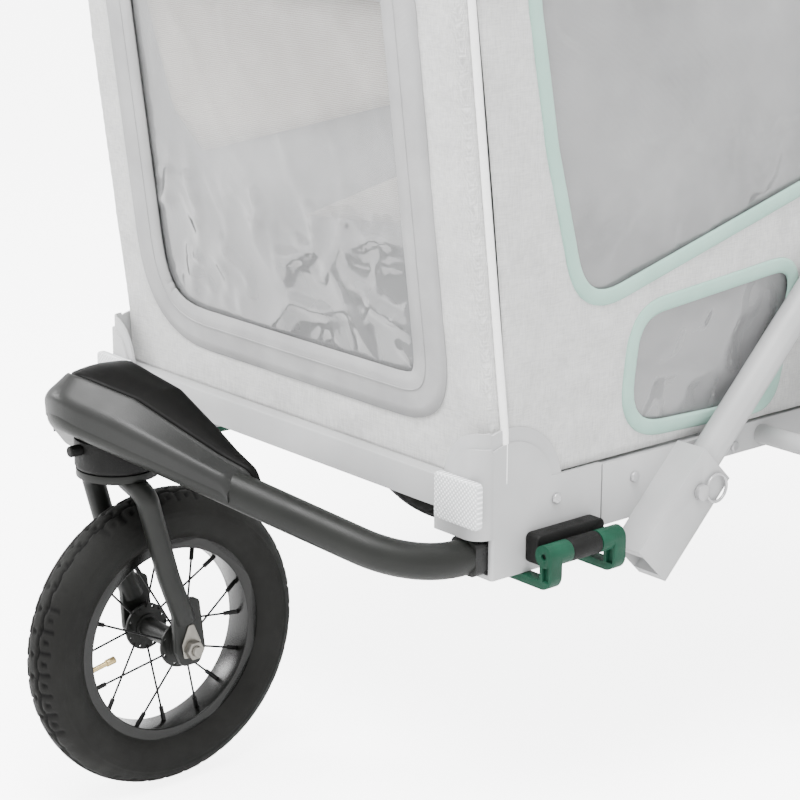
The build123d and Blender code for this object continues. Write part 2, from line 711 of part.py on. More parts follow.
def cage():
    front = [(front_hoop_y, hoop_pivot_z), (front_hoop_top_y, hoop_top_z)]
    keep("front_hoop", hoop(front_hoop_x, front_hoop_y, front))
    rear = [(rear_hoop_y, hoop_pivot_z), (rear_hoop_y, rear_knee_z), (rear_hoop_top_y, hoop_top_z + 20)]
    keep("rear_hoop", hoop(rear_hoop_x, rear_hoop_y, rear))
    ears = []
    for x, y in ((front_hoop_x, front_hoop_y), (rear_hoop_x, rear_hoop_y)):
        top = rod((x - 20, y, hoop_pivot_z), (x + 20, y, hoop_pivot_z), hinge_ear_half)
        ear = top + block(x - 20, x + 20, y - hinge_ear_half, y + hinge_ear_half, rail_top_z, hoop_pivot_z)
        gap = hoop_radius + 0.3
        ear &= block(x - gap - 3, x + gap + 3, -900, 900, rail_top_z, 900)
        ear -= block(x - gap, x + gap, -900, 900, rail_top_z + 0.5, 900)
        pin = x_cylinder(x - gap - 3, x + gap + 3, y, hoop_pivot_z, hinge_pin_radius)
        ears += [ear + pin, mirrored(ear + pin)]
    keep("hoop_hinges", group(ears))


def struts():
    top = strut_foot + strut_dir * strut_length
    tube = rod(strut_foot, top, strut_radius, strut_radius - 2)
    pin_at = strut_foot + strut_dir * strut_pin_offset
    hole = x_cylinder(strut_x - 40, strut_x + 40, pin_at.Y, pin_at.Z, strut_pin_radius + running_gap)
    tube -= hole
    keep("side_struts", group([tube, mirrored(tube)]))

    foot = strut_foot - strut_dir * 18
    plane = Plane(origin=foot, x_dir=(1, 0, 0), z_dir=strut_dir)
    width = 2 * (strut_x - side_x)
    outer = extrude(plane * Rectangle(width, socket_depth), amount=socket_length)
    inner = extrude(plane * Rectangle(2 * strut_radius, 2 * strut_radius), amount=socket_length)
    keel_y = (front_face_y + 157, front_face_y + 300)
    keel = block(side_x - bracket_wall, side_x, *keel_y, rail_top_z - 62, rail_top_z)
    socket = outer - inner + keel - hole
    keep("strut_sockets", group([socket, mirrored(socket)]))

    reach = strut_x + width / 2
    pin = x_cylinder(side_x - 2, reach + 3, pin_at.Y, pin_at.Z, strut_pin_radius)
    head = x_cylinder(reach + 0.6, reach + 6, pin_at.Y, pin_at.Z, 8.0)
    eye = Pos(reach + 3, pin_at.Y + 21, pin_at.Z) * Rot(0, 90, 0) * Torus(14.0, 1.6)
    pull = pin + head + eye
    for name, sign in sides:
        keep(f"strut_pin_{name}", pull if sign > 0 else mirrored(pull))


def guards():
    z = rail_top_z - rail_height / 2
    chord = sqrt(rear_tyre_radius**2 - (z - rear_tyre_radius) ** 2)
    front_y = rear_axle_y - chord - guard_gap - guard_radius
    rear_y = rear_axle_y + chord + guard_gap + guard_radius
    inner = side_x - bracket_wall
    path = [(inner, front_y, z), (guard_x, front_y, z), (guard_x, rear_y, z), (inner, rear_y, z)]
    guard = bent_tube(path, guard_corner_radius, guard_radius, 1.5)
    keep("wheel_guards", group([guard, mirrored(guard)]))


# ---------------------------------------------------------------- push handle


def push_handle():
    x, y, z = handle_pivot.X, handle_pivot.Y, handle_pivot.Z
    inner0, inner1 = side_x + 1, strut_x - 1
    outer0, outer1 = strut_x - 0.7, strut_x + 18
    top = strut_foot + strut_dir * strut_length
    plug = rod(top, top + strut_dir * 30, strut_radius)
    fixed = x_cylinder(inner0, inner1, y, z, handle_pivot_radius)
    plane = Plane(origin=top + strut_dir * 10, x_dir=(1, 0, 0), z_dir=strut_dir)
    web_section = Pos((inner0 + inner1) / 2 - strut_x, 0) * Rectangle(inner1 - inner0, 26)
    web = extrude(plane * web_section, amount=52)
    knuckle = fixed + web + plug
    knuckle -= x_cylinder(outer0 - 0.3, outer1 + 30, y, z, handle_pivot_radius + 1)
    pin = x_cylinder(inner1, outer1 + 2, y, z, handle_pin_radius)
    knuckle += pin
    keep("handle_knuckles", group([knuckle, mirrored(knuckle)]))

    leg_x = outer0 + handle_tube_radius + 3
    end = handle_pivot + strut_dir * handle_reach
    start = handle_pivot + strut_dir * (handle_pivot_radius - 8)
    path = [(leg_x, start.Y, start.Z), (leg_x, end.Y, end.Z)]
    path += [(-leg_x, end.Y, end.Z), (-leg_x, start.Y, start.Z)]
    radii = [handle_corner_radius] * 2
    bar = bent_tube(path, radii, handle_tube_radius, 2.0)
    for sign in (1, -1):
        cheek = x_cylinder(sign * outer0, sign * outer1, y, z, handle_pivot_radius)
        bar += cheek
        bar -= x_cylinder(sign * outer0, sign * (outer1 + 10), y, z, handle_pin_radius + running_gap)
    keep("handle_bar", bar)
    half = leg_x - handle_corner_radius - 4
    grip = rod((-half, end.Y, end.Z), (half, end.Y, end.Z), handle_grip_radius, handle_tube_radius)
    keep("handle_grip", grip)


# ---------------------------------------------------------------- cabin


def cabin_profile():
    front = front_face_y + 13
    rear = rear_face_y - 4
    return [
        (front, rail_top_z),
        (front, rail_top_z + 58),
        (cabin_front_top_y, cabin_roof_front_z - 55),
        (cabin_front_top_y + 52, cabin_roof_front_z),
        (cabin_roof_rear_y, cabin_roof_rear_z),
        (cabin_shoulder_y, cabin_shoulder_z),
        (rear, 480),
        (rear, rail_top_z),
    ]


def upper_window():
    return side_outline(
        [(-160, 502), (150, 578), (330, 600), (400, 640), (340, 850), (-262, 838)],
        window_corner_radius / 1.6,
    )


def lower_window():
    return side_outline([(-112, 363), (95, 363), (95, 515), (-60, 478), (-112, 455)], 22.0)


def cabin():
    half = side_x - bracket_wall
    profile = side_outline(cabin_profile())
    profile = fillet(profile.vertices().filter_by(lambda v: v.Z > 450), cabin_corner_radius)
    inner = offset(profile, amount=-fabric, kind=Kind.INTERSECTION)
    ring = extrude(profile, amount=half - fabric, both=True) - extrude(inner, amount=half, both=True)
    far = 2000.0
    hem_z = cross_bar_z + cross_bar_height / 2 + 0.5
    front_zone = block(-far, far, -far, front_face_y + 42, hem_z, cabin_roof_front_z - 30)
    roof_zone = block(-far, far, -far, cabin_shoulder_y - 10, cabin_roof_front_z - 30, far)
    rear_zone = block(-far, far, cabin_shoulder_y - 10, far, hem_z, far)
    window_height = front_window_top_z - front_window_bottom_z
    window_shape = RectangleRounded(2 * front_window_half_width, window_height, window_corner_radius)
    window_mid_z = (front_window_bottom_z + front_window_top_z) / 2
    window_plan = Plane.XZ * (Pos(0, window_mid_z) * window_shape)
    window_zone = extrude(window_plan, amount=far, both=True)
    window_zone &= block(-far, far, -far, front_face_y + 42, 0, far)
    front = ring & front_zone
    keep("front_panel", front - window_zone)
    keep("front_window", front & window_zone)
    keep("roof_panel", ring & roof_zone)
    keep("rear_panel", ring & rear_zone)

    outward = (1, 0, 0)
    side = Pos(half - fabric, 0, 0) * extrude(profile, amount=fabric, dir=outward)
    side &= block(0, far, -far, far, hem_z, far)
    windows = []
    for face in (upper_window(), lower_window()):
        cut = extrude(face, amount=far, dir=outward)
        windows.append(Pos(half - fabric, 0, 0) * extrude(face, amount=fabric * 0.6, dir=outward))
        side -= cut
    for name, sign in sides:
        keep(f"side_panel_{name}", side if sign > 0 else mirrored(side))
    panes = group(windows)
    keep("side_windows", group([panes, mirrored(panes)]))


# ---------------------------------------------------------------- seat


def seat():
    half = seat_width / 2
    y1 = seat_front_y + seat_depth
    top = rail_top_z + seat_height
    cushion = block(-half, half, seat_front_y, y1, rail_top_z, top)
    cushion = fillet(cushion.edges().filter_by(Axis.X).sort_by(Axis.Z)[-2:], 16.0)
    keep("seat_cushion", cushion)

    pivot_y = y1 + backrest_thickness / 2
    pivot_z = top + backrest_thickness / 2 + 2
    lean = Pos(0, pivot_y, pivot_z) * Rot(-backrest_lean, 0, 0)
    back = block(-half, half, -backrest_thickness / 2, backrest_thickness / 2, 0, backrest_length)
    back = fillet(back.edges().filter_by(Axis.Y).sort_by(Axis.Z)[-2:], 50.0)
    back += x_cylinder(-half, half, 0, 0, backrest_thickness / 2)
    back -= x_cylinder(-half, half, 0, 0, backrest_bar_radius + running_gap)
    keep("backrest", lean * back)
    straps = []
    for centre in (-115.0, 115.0):
        for offset_x in (-42.0, 42.0):
            strap = Box(strap_width, 2.5, backrest_length * 0.62)
            place = Pos(centre + offset_x, -backrest_thickness / 2 - 1.25, backrest_length * 0.56)
            straps.append(lean * place * strap)
    keep("harness_straps", group(straps))

    bar = x_cylinder(-half - 8, half + 8, pivot_y, pivot_z, backrest_bar_radius)
    for sign in (1, -1):
        post = block(sign * (half + 2), sign * (half + 8), pivot_y - 11, pivot_y + 11, rail_top_z, pivot_z)
        bar += post + x_cylinder(sign * (half + 2), sign * (half + 8), pivot_y, pivot_z, 11.0)
    keep("backrest_bar", bar)


def build():
    front_wheel()
    fork()
    front_axle()
    arm_solid = arm()
    swivel_head(arm_solid)
    cover(arm_solid)
    latches()
    base_frame()
    bolts()
    reflectors()
    axle_and_brake()
    flag_socket()
    cage()
    struts()
    guards()
    push_handle()
    cabin()
    seat()
    for name, sign in sides:
        rear_wheel(name, sign)


build()
os.makedirs("parts", exist_ok=True)
for node, shape in parts.items():
    export_step(shape, f"parts/{node}.step")
print(len(parts), "sub-parts, centring", round(centring, 2))
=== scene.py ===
import json
import math

import bpy
import numpy as np
from mathutils import Matrix, Vector, noise
from mathutils.geometry import delaunay_2d_cdt

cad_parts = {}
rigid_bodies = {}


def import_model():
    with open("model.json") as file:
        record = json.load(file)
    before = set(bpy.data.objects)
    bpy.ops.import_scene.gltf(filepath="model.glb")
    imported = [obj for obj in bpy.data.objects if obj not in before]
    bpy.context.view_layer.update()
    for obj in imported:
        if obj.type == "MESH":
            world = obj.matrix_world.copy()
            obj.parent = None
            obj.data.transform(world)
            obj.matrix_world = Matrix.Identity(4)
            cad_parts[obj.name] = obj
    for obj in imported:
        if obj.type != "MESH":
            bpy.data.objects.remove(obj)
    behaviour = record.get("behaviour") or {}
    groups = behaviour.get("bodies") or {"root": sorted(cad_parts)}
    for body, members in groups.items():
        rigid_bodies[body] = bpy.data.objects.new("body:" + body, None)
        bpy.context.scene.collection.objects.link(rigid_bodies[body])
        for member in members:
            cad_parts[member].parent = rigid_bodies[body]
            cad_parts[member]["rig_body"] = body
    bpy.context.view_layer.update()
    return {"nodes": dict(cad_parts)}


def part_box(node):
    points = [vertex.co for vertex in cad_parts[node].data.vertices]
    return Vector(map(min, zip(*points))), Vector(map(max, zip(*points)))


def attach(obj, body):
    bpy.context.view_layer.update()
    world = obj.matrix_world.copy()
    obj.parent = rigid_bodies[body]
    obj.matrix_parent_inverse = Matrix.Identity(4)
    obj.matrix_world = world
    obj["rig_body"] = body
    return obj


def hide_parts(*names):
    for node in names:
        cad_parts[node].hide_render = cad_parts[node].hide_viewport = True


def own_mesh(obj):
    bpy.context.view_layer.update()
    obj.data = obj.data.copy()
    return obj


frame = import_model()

# ------------------------------------------------------------------ studio
# A flat pale floor that looks white from the camera, under a white sky and two soft
# boxes. None of it belongs to the trailer.
camera_data = bpy.data.cameras.new("studio_camera")
camera = bpy.data.objects.new("studio_camera", camera_data)
bpy.context.scene.collection.objects.link(camera)
bpy.context.scene.camera = camera
camera_data.lens = 103.5
camera_data.sensor_width = 36.0
camera_turn = math.radians(49.6)
camera_drop = math.radians(15.96)
camera_roll = math.radians(0.17)
camera.location = (1.777, -1.6708, 1.0056)
camera.rotation_mode = "QUATERNION"
camera.rotation_quaternion = (
    Matrix.Rotation(camera_turn, 4, "Z")
    @ Matrix.Rotation(math.pi / 2 - camera_drop, 4, "X")
    @ Matrix.Rotation(camera_roll, 4, "Z")
).to_quaternion()


class Wire:
    """A socket of a node tree that takes part in Python sums."""

    def __init__(self, tree, socket):
        self.tree = tree
        self.socket = socket

    def node(self, kind, settings=None, inputs=None, output=0):
        made = self.tree.nodes.new(kind)
        for key, value in (settings or {}).items():
            if key == "stops":
                ramp = made.color_ramp
                while len(ramp.elements) < len(value):
                    ramp.elements.new(0.5)
                for element, (place, colour) in zip(ramp.elements, value):
                    element.position = place
                    element.color = (*colour, 1.0) if len(colour) == 3 else colour
            else:
                setattr(made, key, value)
        for key, value in (inputs or {}).items():
            if isinstance(value, Wire):
                self.tree.links.new(value.socket, made.inputs[key])
            else:
                made.inputs[key].default_value = value
        return Wire(self.tree, made.outputs[output])

    def sum_of(self, operation, left, right):
        return self.node("ShaderNodeMath", {"operation": operation}, {0: left, 1: right})

    def __add__(self, other):
        return self.sum_of("ADD", self, other)

    def __radd__(self, other):
        return self.sum_of("ADD", other, self)

    def __sub__(self, other):
        return self.sum_of("SUBTRACT", self, other)

    def __rsub__(self, other):
        return self.sum_of("SUBTRACT", other, self)

    def __mul__(self, other):
        return self.sum_of("MULTIPLY", self, other)

    def __rmul__(self, other):
        return self.sum_of("MULTIPLY", other, self)

    def span(self, low, high, to_low=0.0, to_high=1.0):
        """This value mapped from one range to another, held inside it."""
        inputs = {0: self, 1: low, 2: high, 3: to_low, 4: to_high}
        return self.node("ShaderNodeMapRange", {"clamp": True}, inputs)

    def stretched(self, scale, turn=(0.0, 0.0, 0.0)):
        return self.node("ShaderNodeMapping", None, {"Vector": self, "Rotation": turn, "Scale": scale})

    def noise(self, scale, detail=3.0, rough=0.5):
        inputs = {"Vector": self, "Scale": scale, "Detail": detail, "Roughness": rough}
        return self.node("ShaderNodeTexNoise", None, inputs)

    def cells(self, scale, feature="F1"):
        return self.node("ShaderNodeTexVoronoi", {"feature": feature}, {"Vector": self, "Scale": scale})

    def waves(self, scale, direction="X", profile="SIN"):
        settings = {"bands_direction": direction, "wave_profile": profile}
        return self.node("ShaderNodeTexWave", settings, {"Vector": self, "Scale": scale, "Distortion": 0.0})

    def blend_colours(self, first, second):
        """Colour mix by this value."""
        inputs = {0: self, 6: first, 7: second}
        return self.node("ShaderNodeMix", {"data_type": "RGBA"}, inputs, output=2)


def rgba(red, green, blue):
    return (red, green, blue, 1.0)


def new_material(name, **fixed):
    """Material with its uniform values set on the shader, and wires to its space and shader."""
    material = bpy.data.materials.new(name)
    material.use_nodes = True
    tree = material.node_tree
    shader = tree.nodes["Principled BSDF"]
    for key, value in fixed.items():
        shader.inputs[key.replace("_", " ")].default_value = value
    space = tree.nodes.new("ShaderNodeTexCoord")
    return material, shader, Wire(tree, space.outputs["Object"])


def feed(shader, key, wire):
    wire.tree.links.new(wire.socket, shader.inputs[key])


def bump(shader, height, distance, strength=1.0):
    inputs = {"Height": height, "Distance": distance, "Strength": strength}
    feed(shader, "Normal", height.node("ShaderNodeBump", None, inputs))


def deselect():
    bpy.ops.object.select_all(action="DESELECT")


def pick(piece):
    deselect()
    piece.select_set(True)
    bpy.context.view_layer.objects.active = piece


def apply_all(piece):
    pick(piece)
    for modifier in list(piece.modifiers):
        bpy.ops.object.modifier_apply(modifier=modifier.name)


def paint(piece, *materials):
    piece.data.materials.clear()
    for material in materials:
        piece.data.materials.append(material)


deselect()
bpy.ops.mesh.primitive_plane_add(size=1.0, location=(0, 0, 0))
floor = bpy.context.active_object
floor.name = "studio_floor"
floor_reach = 60.0
floor.data.transform(Matrix.Diagonal((floor_reach, floor_reach, 1.0, 1.0)))
floor_material, floor_shader, floor_space = new_material(
    "studio_floor", Roughness=0.95, Specular_IOR_Level=0.0, Emission_Strength=5.0
)
seen_directly = floor_space.node("ShaderNodeLightPath")
feed(floor_shader, "Emission Color", seen_directly.blend_colours(rgba(0.0, 0.0, 0.0), rgba(1.0, 1.0, 1.0)))
floor_tone = floor_space.noise(0.4, 1.0).span(0.0, 1.0)
feed(floor_shader, "Base Color", floor_tone.blend_colours(rgba(0.93, 0.93, 0.93), rgba(0.95, 0.95, 0.95)))
paint(floor, floor_material)

world = bpy.data.worlds.new("studio")
bpy.context.scene.world = world
world.use_nodes = True
world.node_tree.nodes["Background"].inputs[0].default_value = rgba(1.0, 1.0, 1.0)
world.node_tree.nodes["Background"].inputs[1].default_value = 2.1


def soft_box(name, place, target, width, power):
    light = bpy.data.lights.new(name, "AREA")
    light.shape = "RECTANGLE"
    light.size = width
    light.size_y = width * 0.6
    light.energy = power
    holder = bpy.data.objects.new(name, light)
    holder.location = place
    holder.rotation_euler = (Vector(target) - Vector(place)).to_track_quat("-Z", "Y").to_euler()
    bpy.context.scene.collection.objects.link(holder)


soft_box("light_above", (0.6, -1.2, 3.2), (0.0, -0.2, 0.3), 2.2, 230.0)
soft_box("light_left", (-2.8, -2.4, 1.8), (0.0, -0.4, 0.3), 1.6, 110.0)

# ------------------------------------------------------------------ front tyre
# A 12 1/2 inch pushchair tyre of moulded rubber: a scalloped band between two wavy
# grooves round the crown, cross grooves and short sipes on the shoulders, plain walls.
tyre_low, tyre_high = (Vector(corner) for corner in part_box("front_tyre"))
tyre_centre = (tyre_low + tyre_high) / 2
tyre_radius = (tyre_high.z - tyre_low.z) / 2
tyre_section = (tyre_high.x - tyre_low.x) / 2
tread_pitches = 42
groove_depth = 0.0022
crown_allowance = 0.0006


def treaded_tyre(name, centre, radius, section, rings, slices, pitches, depth):
    """Torus about X whose crown is pressed in along the lines of the tread."""
    deselect()
    bpy.ops.mesh.primitive_torus_add(
        location=(0, 0, 0),
        major_segments=rings,
        minor_segments=slices,
        major_radius=radius - section,
        minor_radius=section,
    )
    tyre = bpy.context.active_object
    tyre.name = name
    tyre.data.transform(Matrix.Rotation(math.pi / 2, 4, "Y"))
    count = len(tyre.data.vertices)
    places = np.empty(count * 3)
    tyre.data.vertices.foreach_get("co", places)
    places = places.reshape(-1, 3)
    around = np.arctan2(places[:, 2], places[:, 1])
    out = np.hypot(places[:, 1], places[:, 2]) - (radius - section)
    across = np.arctan2(places[:, 0], out) * section * 1000
    step = around / (2 * math.pi) * pitches

    def line(distance, half=0.75, soft=0.5):
        return np.clip((half + soft - np.abs(distance)) / soft, 0, 1)

    pitch_mm = 2 * math.pi * radius * 1000 / pitches
    scallop = np.abs((step % 1.0) - 0.5) * 2
    other = np.abs(((step + 0.5) % 1.0) - 0.5) * 2
    beyond = ((step + 0.5) % 1.0 - 0.5) * pitch_mm
    between = (step % 1.0 - 0.5) * pitch_mm
    press = line(across - (7.0 + 3.2 * scallop**1.5))
    press = np.maximum(press, line(across + (7.0 + 3.2 * other**1.5)))
    slant = beyond + (across - 10) * 0.45
    press = np.maximum(press, line(slant) * (np.abs(across) < 9))
    press = np.maximum(press, line(beyond, 1.0) * (across > 11) * (across < 22))
    press = np.maximum(press, line(between, 1.0) * (across < -11) * (across > -22))
    press = np.maximum(press, line(between, 0.8) * (across > 14) * (across < 19))
    press = np.maximum(press, line(beyond, 0.8) * (across < -14) * (across > -19))
    ridge = line(np.abs(across) - 33, 0.5, 0.6) * 0.35 + line(np.abs(across) - 38, 0.5, 0.6) * 0.35
    shift = -press * depth + ridge * depth
    scale = 1 + shift / section
    radial = np.stack([np.cos(around), np.sin(around)], 1)
    middle = radial * (radius - section)
    places[:, 0] *= scale
    places[:, 1:] = middle + (places[:, 1:] - middle) * scale[:, None]
    places += np.array(centre)
    tyre.data.vertices.foreach_set("co", places.ravel())
    # The groove mask is kept on the mesh so the grooves can be painted darker as painted shade.
    groove = tyre.data.attributes.new("groove", "FLOAT", "POINT")
    groove.data.foreach_set("value", press.ravel())
    tyre.data.update()
    bpy.ops.object.shade_smooth()
    return tyre


rubber, rubber_shader, rubber_space = new_material("tyre_rubber", Specular_IOR_Level=0.1)
dusty = rubber_space.noise(14.0, 5.0).span(0.3, 0.75)
worn = dusty.blend_colours(rgba(0.007, 0.007, 0.0065), rgba(0.0115, 0.0117, 0.0108))
# The grooves of the tread are painted near black: painted shade in the recesses of one rubber, over the
# random dusty tone.
pressed = rubber_space.node("ShaderNodeAttribute", {"attribute_name": "groove"}, output=2)
feed(rubber_shader, "Base Color", pressed.blend_colours(worn, rgba(0.001, 0.001, 0.001)))
feed(rubber_shader, "Roughness", rubber_space.noise(60.0, 4.0).span(0.3, 0.7, 0.5, 0.68))
bump(rubber_shader, rubber_space.noise(1600.0, 3.0) + 0.6 * rubber_space.noise(220.0, 2.0), 0.00025)

front_tyre = treaded_tyre(
    "front_tyre_tread", tyre_centre, tyre_radius - crown_allowance, tyre_section,
    rings=720, slices=96, pitches=tread_pitches, depth=groove_depth,
)
paint(front_tyre, rubber)
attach(front_tyre, "front_wheel")
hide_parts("front_tyre")

# ------------------------------------------------------------------ front rim, hub and spokes
# A black aluminium rim with rolled lips, a drilled flange hub turned from bar, and
# sixteen black steel spokes with crimped nipples.


def dressed(node, materials, edge=0.0008, smooth=35.0, segments=2):
    """A joined copy of a CAD piece with its corners broken, in place of the CAD piece."""
    source = frame["nodes"][node]
    piece = source.copy()
    piece.data = source.data.copy()
    piece.name = node + "_piece"
    for key in list(piece.keys()):
        del piece[key]
    piece.parent = None
    bpy.context.scene.collection.objects.link(piece)
    pick(piece)
    bpy.ops.object.mode_set(mode="EDIT")
    bpy.ops.mesh.select_all(action="SELECT")
    bpy.ops.mesh.remove_doubles(threshold=0.000005)
    bpy.ops.mesh.dissolve_limited(angle_limit=math.radians(0.4))
    bpy.ops.object.mode_set(mode="OBJECT")
    if edge:
        rounding = piece.modifiers.new("corners", "BEVEL")
        rounding.width = edge
        rounding.segments = segments
        rounding.limit_method = "ANGLE"
        rounding.angle_limit = math.radians(32)
        rounding.use_clamp_overlap = True
        apply_all(piece)
    pick(piece)
    bpy.ops.object.shade_smooth_by_angle(angle=math.radians(smooth))
    paint(piece, *materials)
    body = source["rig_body"]
    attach(piece, body)
    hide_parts(node)
    return piece


def coated_metal(name, dark, light, rough_low, rough_high, metallic=0.0, shine=0.5):
    material, shader, space = new_material(name, Metallic=metallic, Specular_IOR_Level=shine)
    patch = space.noise(9.0, 4.0).span(0.35, 0.7)
    feed(shader, "Base Color", patch.blend_colours(rgba(*dark), rgba(*light)))
    feed(shader, "Roughness", space.noise(38.0, 4.0).span(0.3, 0.7, rough_low, rough_high))
    bump(shader, space.noise(900.0, 2.0) + 0.5 * space.noise(2600.0, 2.0), 0.00012)
    return material


black_gloss = coated_metal(
    "gloss_black_rim", (0.003, 0.003, 0.0028), (0.005, 0.0052, 0.0046),
    rough_low=0.1, rough_high=0.2, shine=0.3,
)
black_coat = coated_metal(
    "satin_black_powder_coat", (0.007, 0.0075, 0.0067), (0.011, 0.0117, 0.0104),
    rough_low=0.34, rough_high=0.46, shine=0.2,
)
black_wire = coated_metal(
    "black_spoke_steel", (0.003, 0.003, 0.003), (0.006, 0.006, 0.006),
    rough_low=0.3, rough_high=0.45, shine=0.2,
)
zinc = coated_metal("dull_zinc", (0.2, 0.19, 0.17), (0.34, 0.33, 0.3), 0.35, 0.55, 0.9)
brass = coated_metal("bare_brass", (0.4, 0.3, 0.14), (0.6, 0.48, 0.25), 0.3, 0.5, 0.95)

dressed("front_rim", [black_gloss], 0.0012)
dressed("front_hub", [black_coat], 0.0005)
dressed("front_spokes", [black_wire], 0.0)
dressed("front_valve", [brass], 0.0004)
dressed("front_axle", [zinc], 0.0004)
dressed("front_axle_nuts", [zinc], 0.0005)

# ------------------------------------------------------------------ fork, arm and swivel head
# Bent steel tube with a satin black powder coat; the swivel head is a moulded nylon
# barrel under the nose of the arm with a sprung locking knob on its front.
moulded, moulded_shader, moulded_space = new_material("black_moulded_nylon", Specular_IOR_Level=0.14)
grainy = moulded_space.noise(30.0, 4.0).span(0.3, 0.7)
moulded_colour = grainy.blend_colours(rgba(0.003, 0.003, 0.0029), rgba(0.006, 0.006, 0.0057))
feed(moulded_shader, "Base Color", moulded_colour)
feed(moulded_shader, "Roughness", moulded_space.noise(80.0, 3.0).span(0.3, 0.7, 0.42, 0.55))
bump(moulded_shader, moulded_space.cells(1500.0) + 0.5 * moulded_space.noise(700.0), 0.0002)

dressed("fork", [black_coat], 0.0012)
arm_end_black = coated_metal(
    "gloss_black_arm_end", (0.002, 0.002, 0.002), (0.004, 0.004, 0.004),
    rough_low=0.2, rough_high=0.32, shine=0.3,
)
arm_piece = dressed("arm_tube", [black_coat, arm_end_black], 0.0008)
squared_end_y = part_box("arm_tube")[1][1] - 0.020
for face in arm_piece.data.polygons:
    face.material_index = int(face.center.y > squared_end_y)
dressed("arm_spigots", [moulded], 0.001)
dressed("swivel_head", [moulded], 0.001)
dressed("swivel_lock_knob", [moulded], 0.0006)
dressed("head_bracket", [black_coat], 0.001)

# ------------------------------------------------------------------ nose cover
# A two-shot moulded cover clipped over the nose of the arm: a satin flank that rises from
# a lip along the front of the tube to a crease, and a darker soft-touch lid behind it.
flank_plastic = coated_metal(
    "satin_black_cover", (0.009, 0.0094, 0.009), (0.014, 0.0144, 0.0137),
    rough_low=0.34, rough_high=0.44, shine=0.25,
)
lid_plastic = coated_metal(
    "soft_touch_lid", (0.0012, 0.0012, 0.0011), (0.0025, 0.0025, 0.0022),
    rough_low=0.42, rough_high=0.52, shine=0.08,
)
cover_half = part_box("cover_flank")[1].x
cover_stations = (0.0, 0.35, 0.65, 0.81, 1.0)
lip_rise = (0.0270, 0.0270, 0.0240, 0.0220, 0.0195)
crease_rise = (0.0390, 0.0382, 0.0268, 0.0212, 0.0185)
crease_back = (0.0035, 0.0098, 0.0097, 0.0093, 0.0080)
rear_back = (0.0760, 0.0660, 0.0465, 0.0345, 0.0190)
lid_swell = (0.0050, 0.0050, 0.0042, 0.0032, 0.0016)


def tube_line():
    """Front edge, middle and height of the arm's tube at evenly spaced places across it."""
    mesh = frame["nodes"]["arm_tube"].data
    places = np.array([v.co[:] for v in mesh.vertices])
    ends = np.array([tuple(e.vertices) for e in mesh.edges])
    first, second = places[ends[:, 0]], places[ends[:, 1]]
    marks = np.linspace(0.0011, cover_half * 1.05, 40)
    rows = []
    for mark in marks:
        cut = (first[:, 0] - mark) * (second[:, 0] - mark) < 0
        share = (mark - first[cut, 0]) / (second[cut, 0] - first[cut, 0])
        spots = first[cut] + (second[cut] - first[cut]) * share[:, None]
        low, high = spots.min(0), spots.max(0)
        rows.append((low[1], (low[1] + high[1]) / 2, (low[2] + high[2]) / 2))
    return marks, np.array(rows)


tube_marks, tube_rows = tube_line()


def corner_arc(start, corner, end):
    """Nine points of the curve that rounds off a corner."""
    shares = [k / 8 for k in range(9)]
    return [start * (1 - t) ** 2 + corner * 2 * t * (1 - t) + end * t**2 for t in shares]


def softened(corners, radii, count):
    """Open line through the corners with arcs of the given radii, as a number of points."""
    dense = [Vector(corners[0])]
    for before, here, after, radius in zip(corners, corners[1:], corners[2:], radii):
        before, here, after = Vector(before), Vector(here), Vector(after)
        into, out = before - here, after - here
        reach = min(radius, 0.48 * into.length, 0.48 * out.length)
        start, end = here + into.normalized() * reach, here + out.normalized() * reach
        dense += corner_arc(start, here, end)
    dense.append(Vector(corners[-1]))
    lengths = np.concatenate([[0], np.cumsum([(b - a).length for a, b in zip(dense, dense[1:])])])
    marks = np.linspace(0, lengths[-1], count)
    return list(zip(*[np.interp(marks, lengths, [p[axis] for p in dense]) for axis in (0, 1)]))


def cover_lines(x):
    """Section of the cover at x: corner lines of the flank and of the lid, as (y, z)."""
    share = min(abs(x) / cover_half, 1.0)
    front, middle, height = (np.interp(abs(x), tube_marks, tube_rows[:, k]) for k in range(3))
    station_lines = (lip_rise, crease_rise, crease_back, rear_back, lid_swell)
    lip, rise, back, rear, swell = (np.interp(share, cover_stations, line) for line in station_lines)
    crease = (middle + back, height + rise)
    flank = [
        (front - 0.0012, height + 0.004),
        (front - 0.0022, height + lip - 0.006),
        (front + 0.0022, height + lip),
        (crease[0] - 0.0045, crease[1] + 0.0002),
        (crease[0] - 0.0012, crease[1] + 0.0014),
        (crease[0] + 0.0012, crease[1] - 0.0012),
    ]
    rear_y = middle + rear
    lid = [
        (crease[0] + 0.0008, crease[1] - 0.0035),
        (crease[0] + 0.0016, crease[1] + 0.0010),
        (crease[0] * 0.6 + rear_y * 0.4, crease[1] + swell),
        (rear_y - 0.004, crease[1] + swell * 0.5),
        (rear_y, crease[1] - 0.010),
        (rear_y - 0.001, height + 0.006),
    ]
    return flank, lid


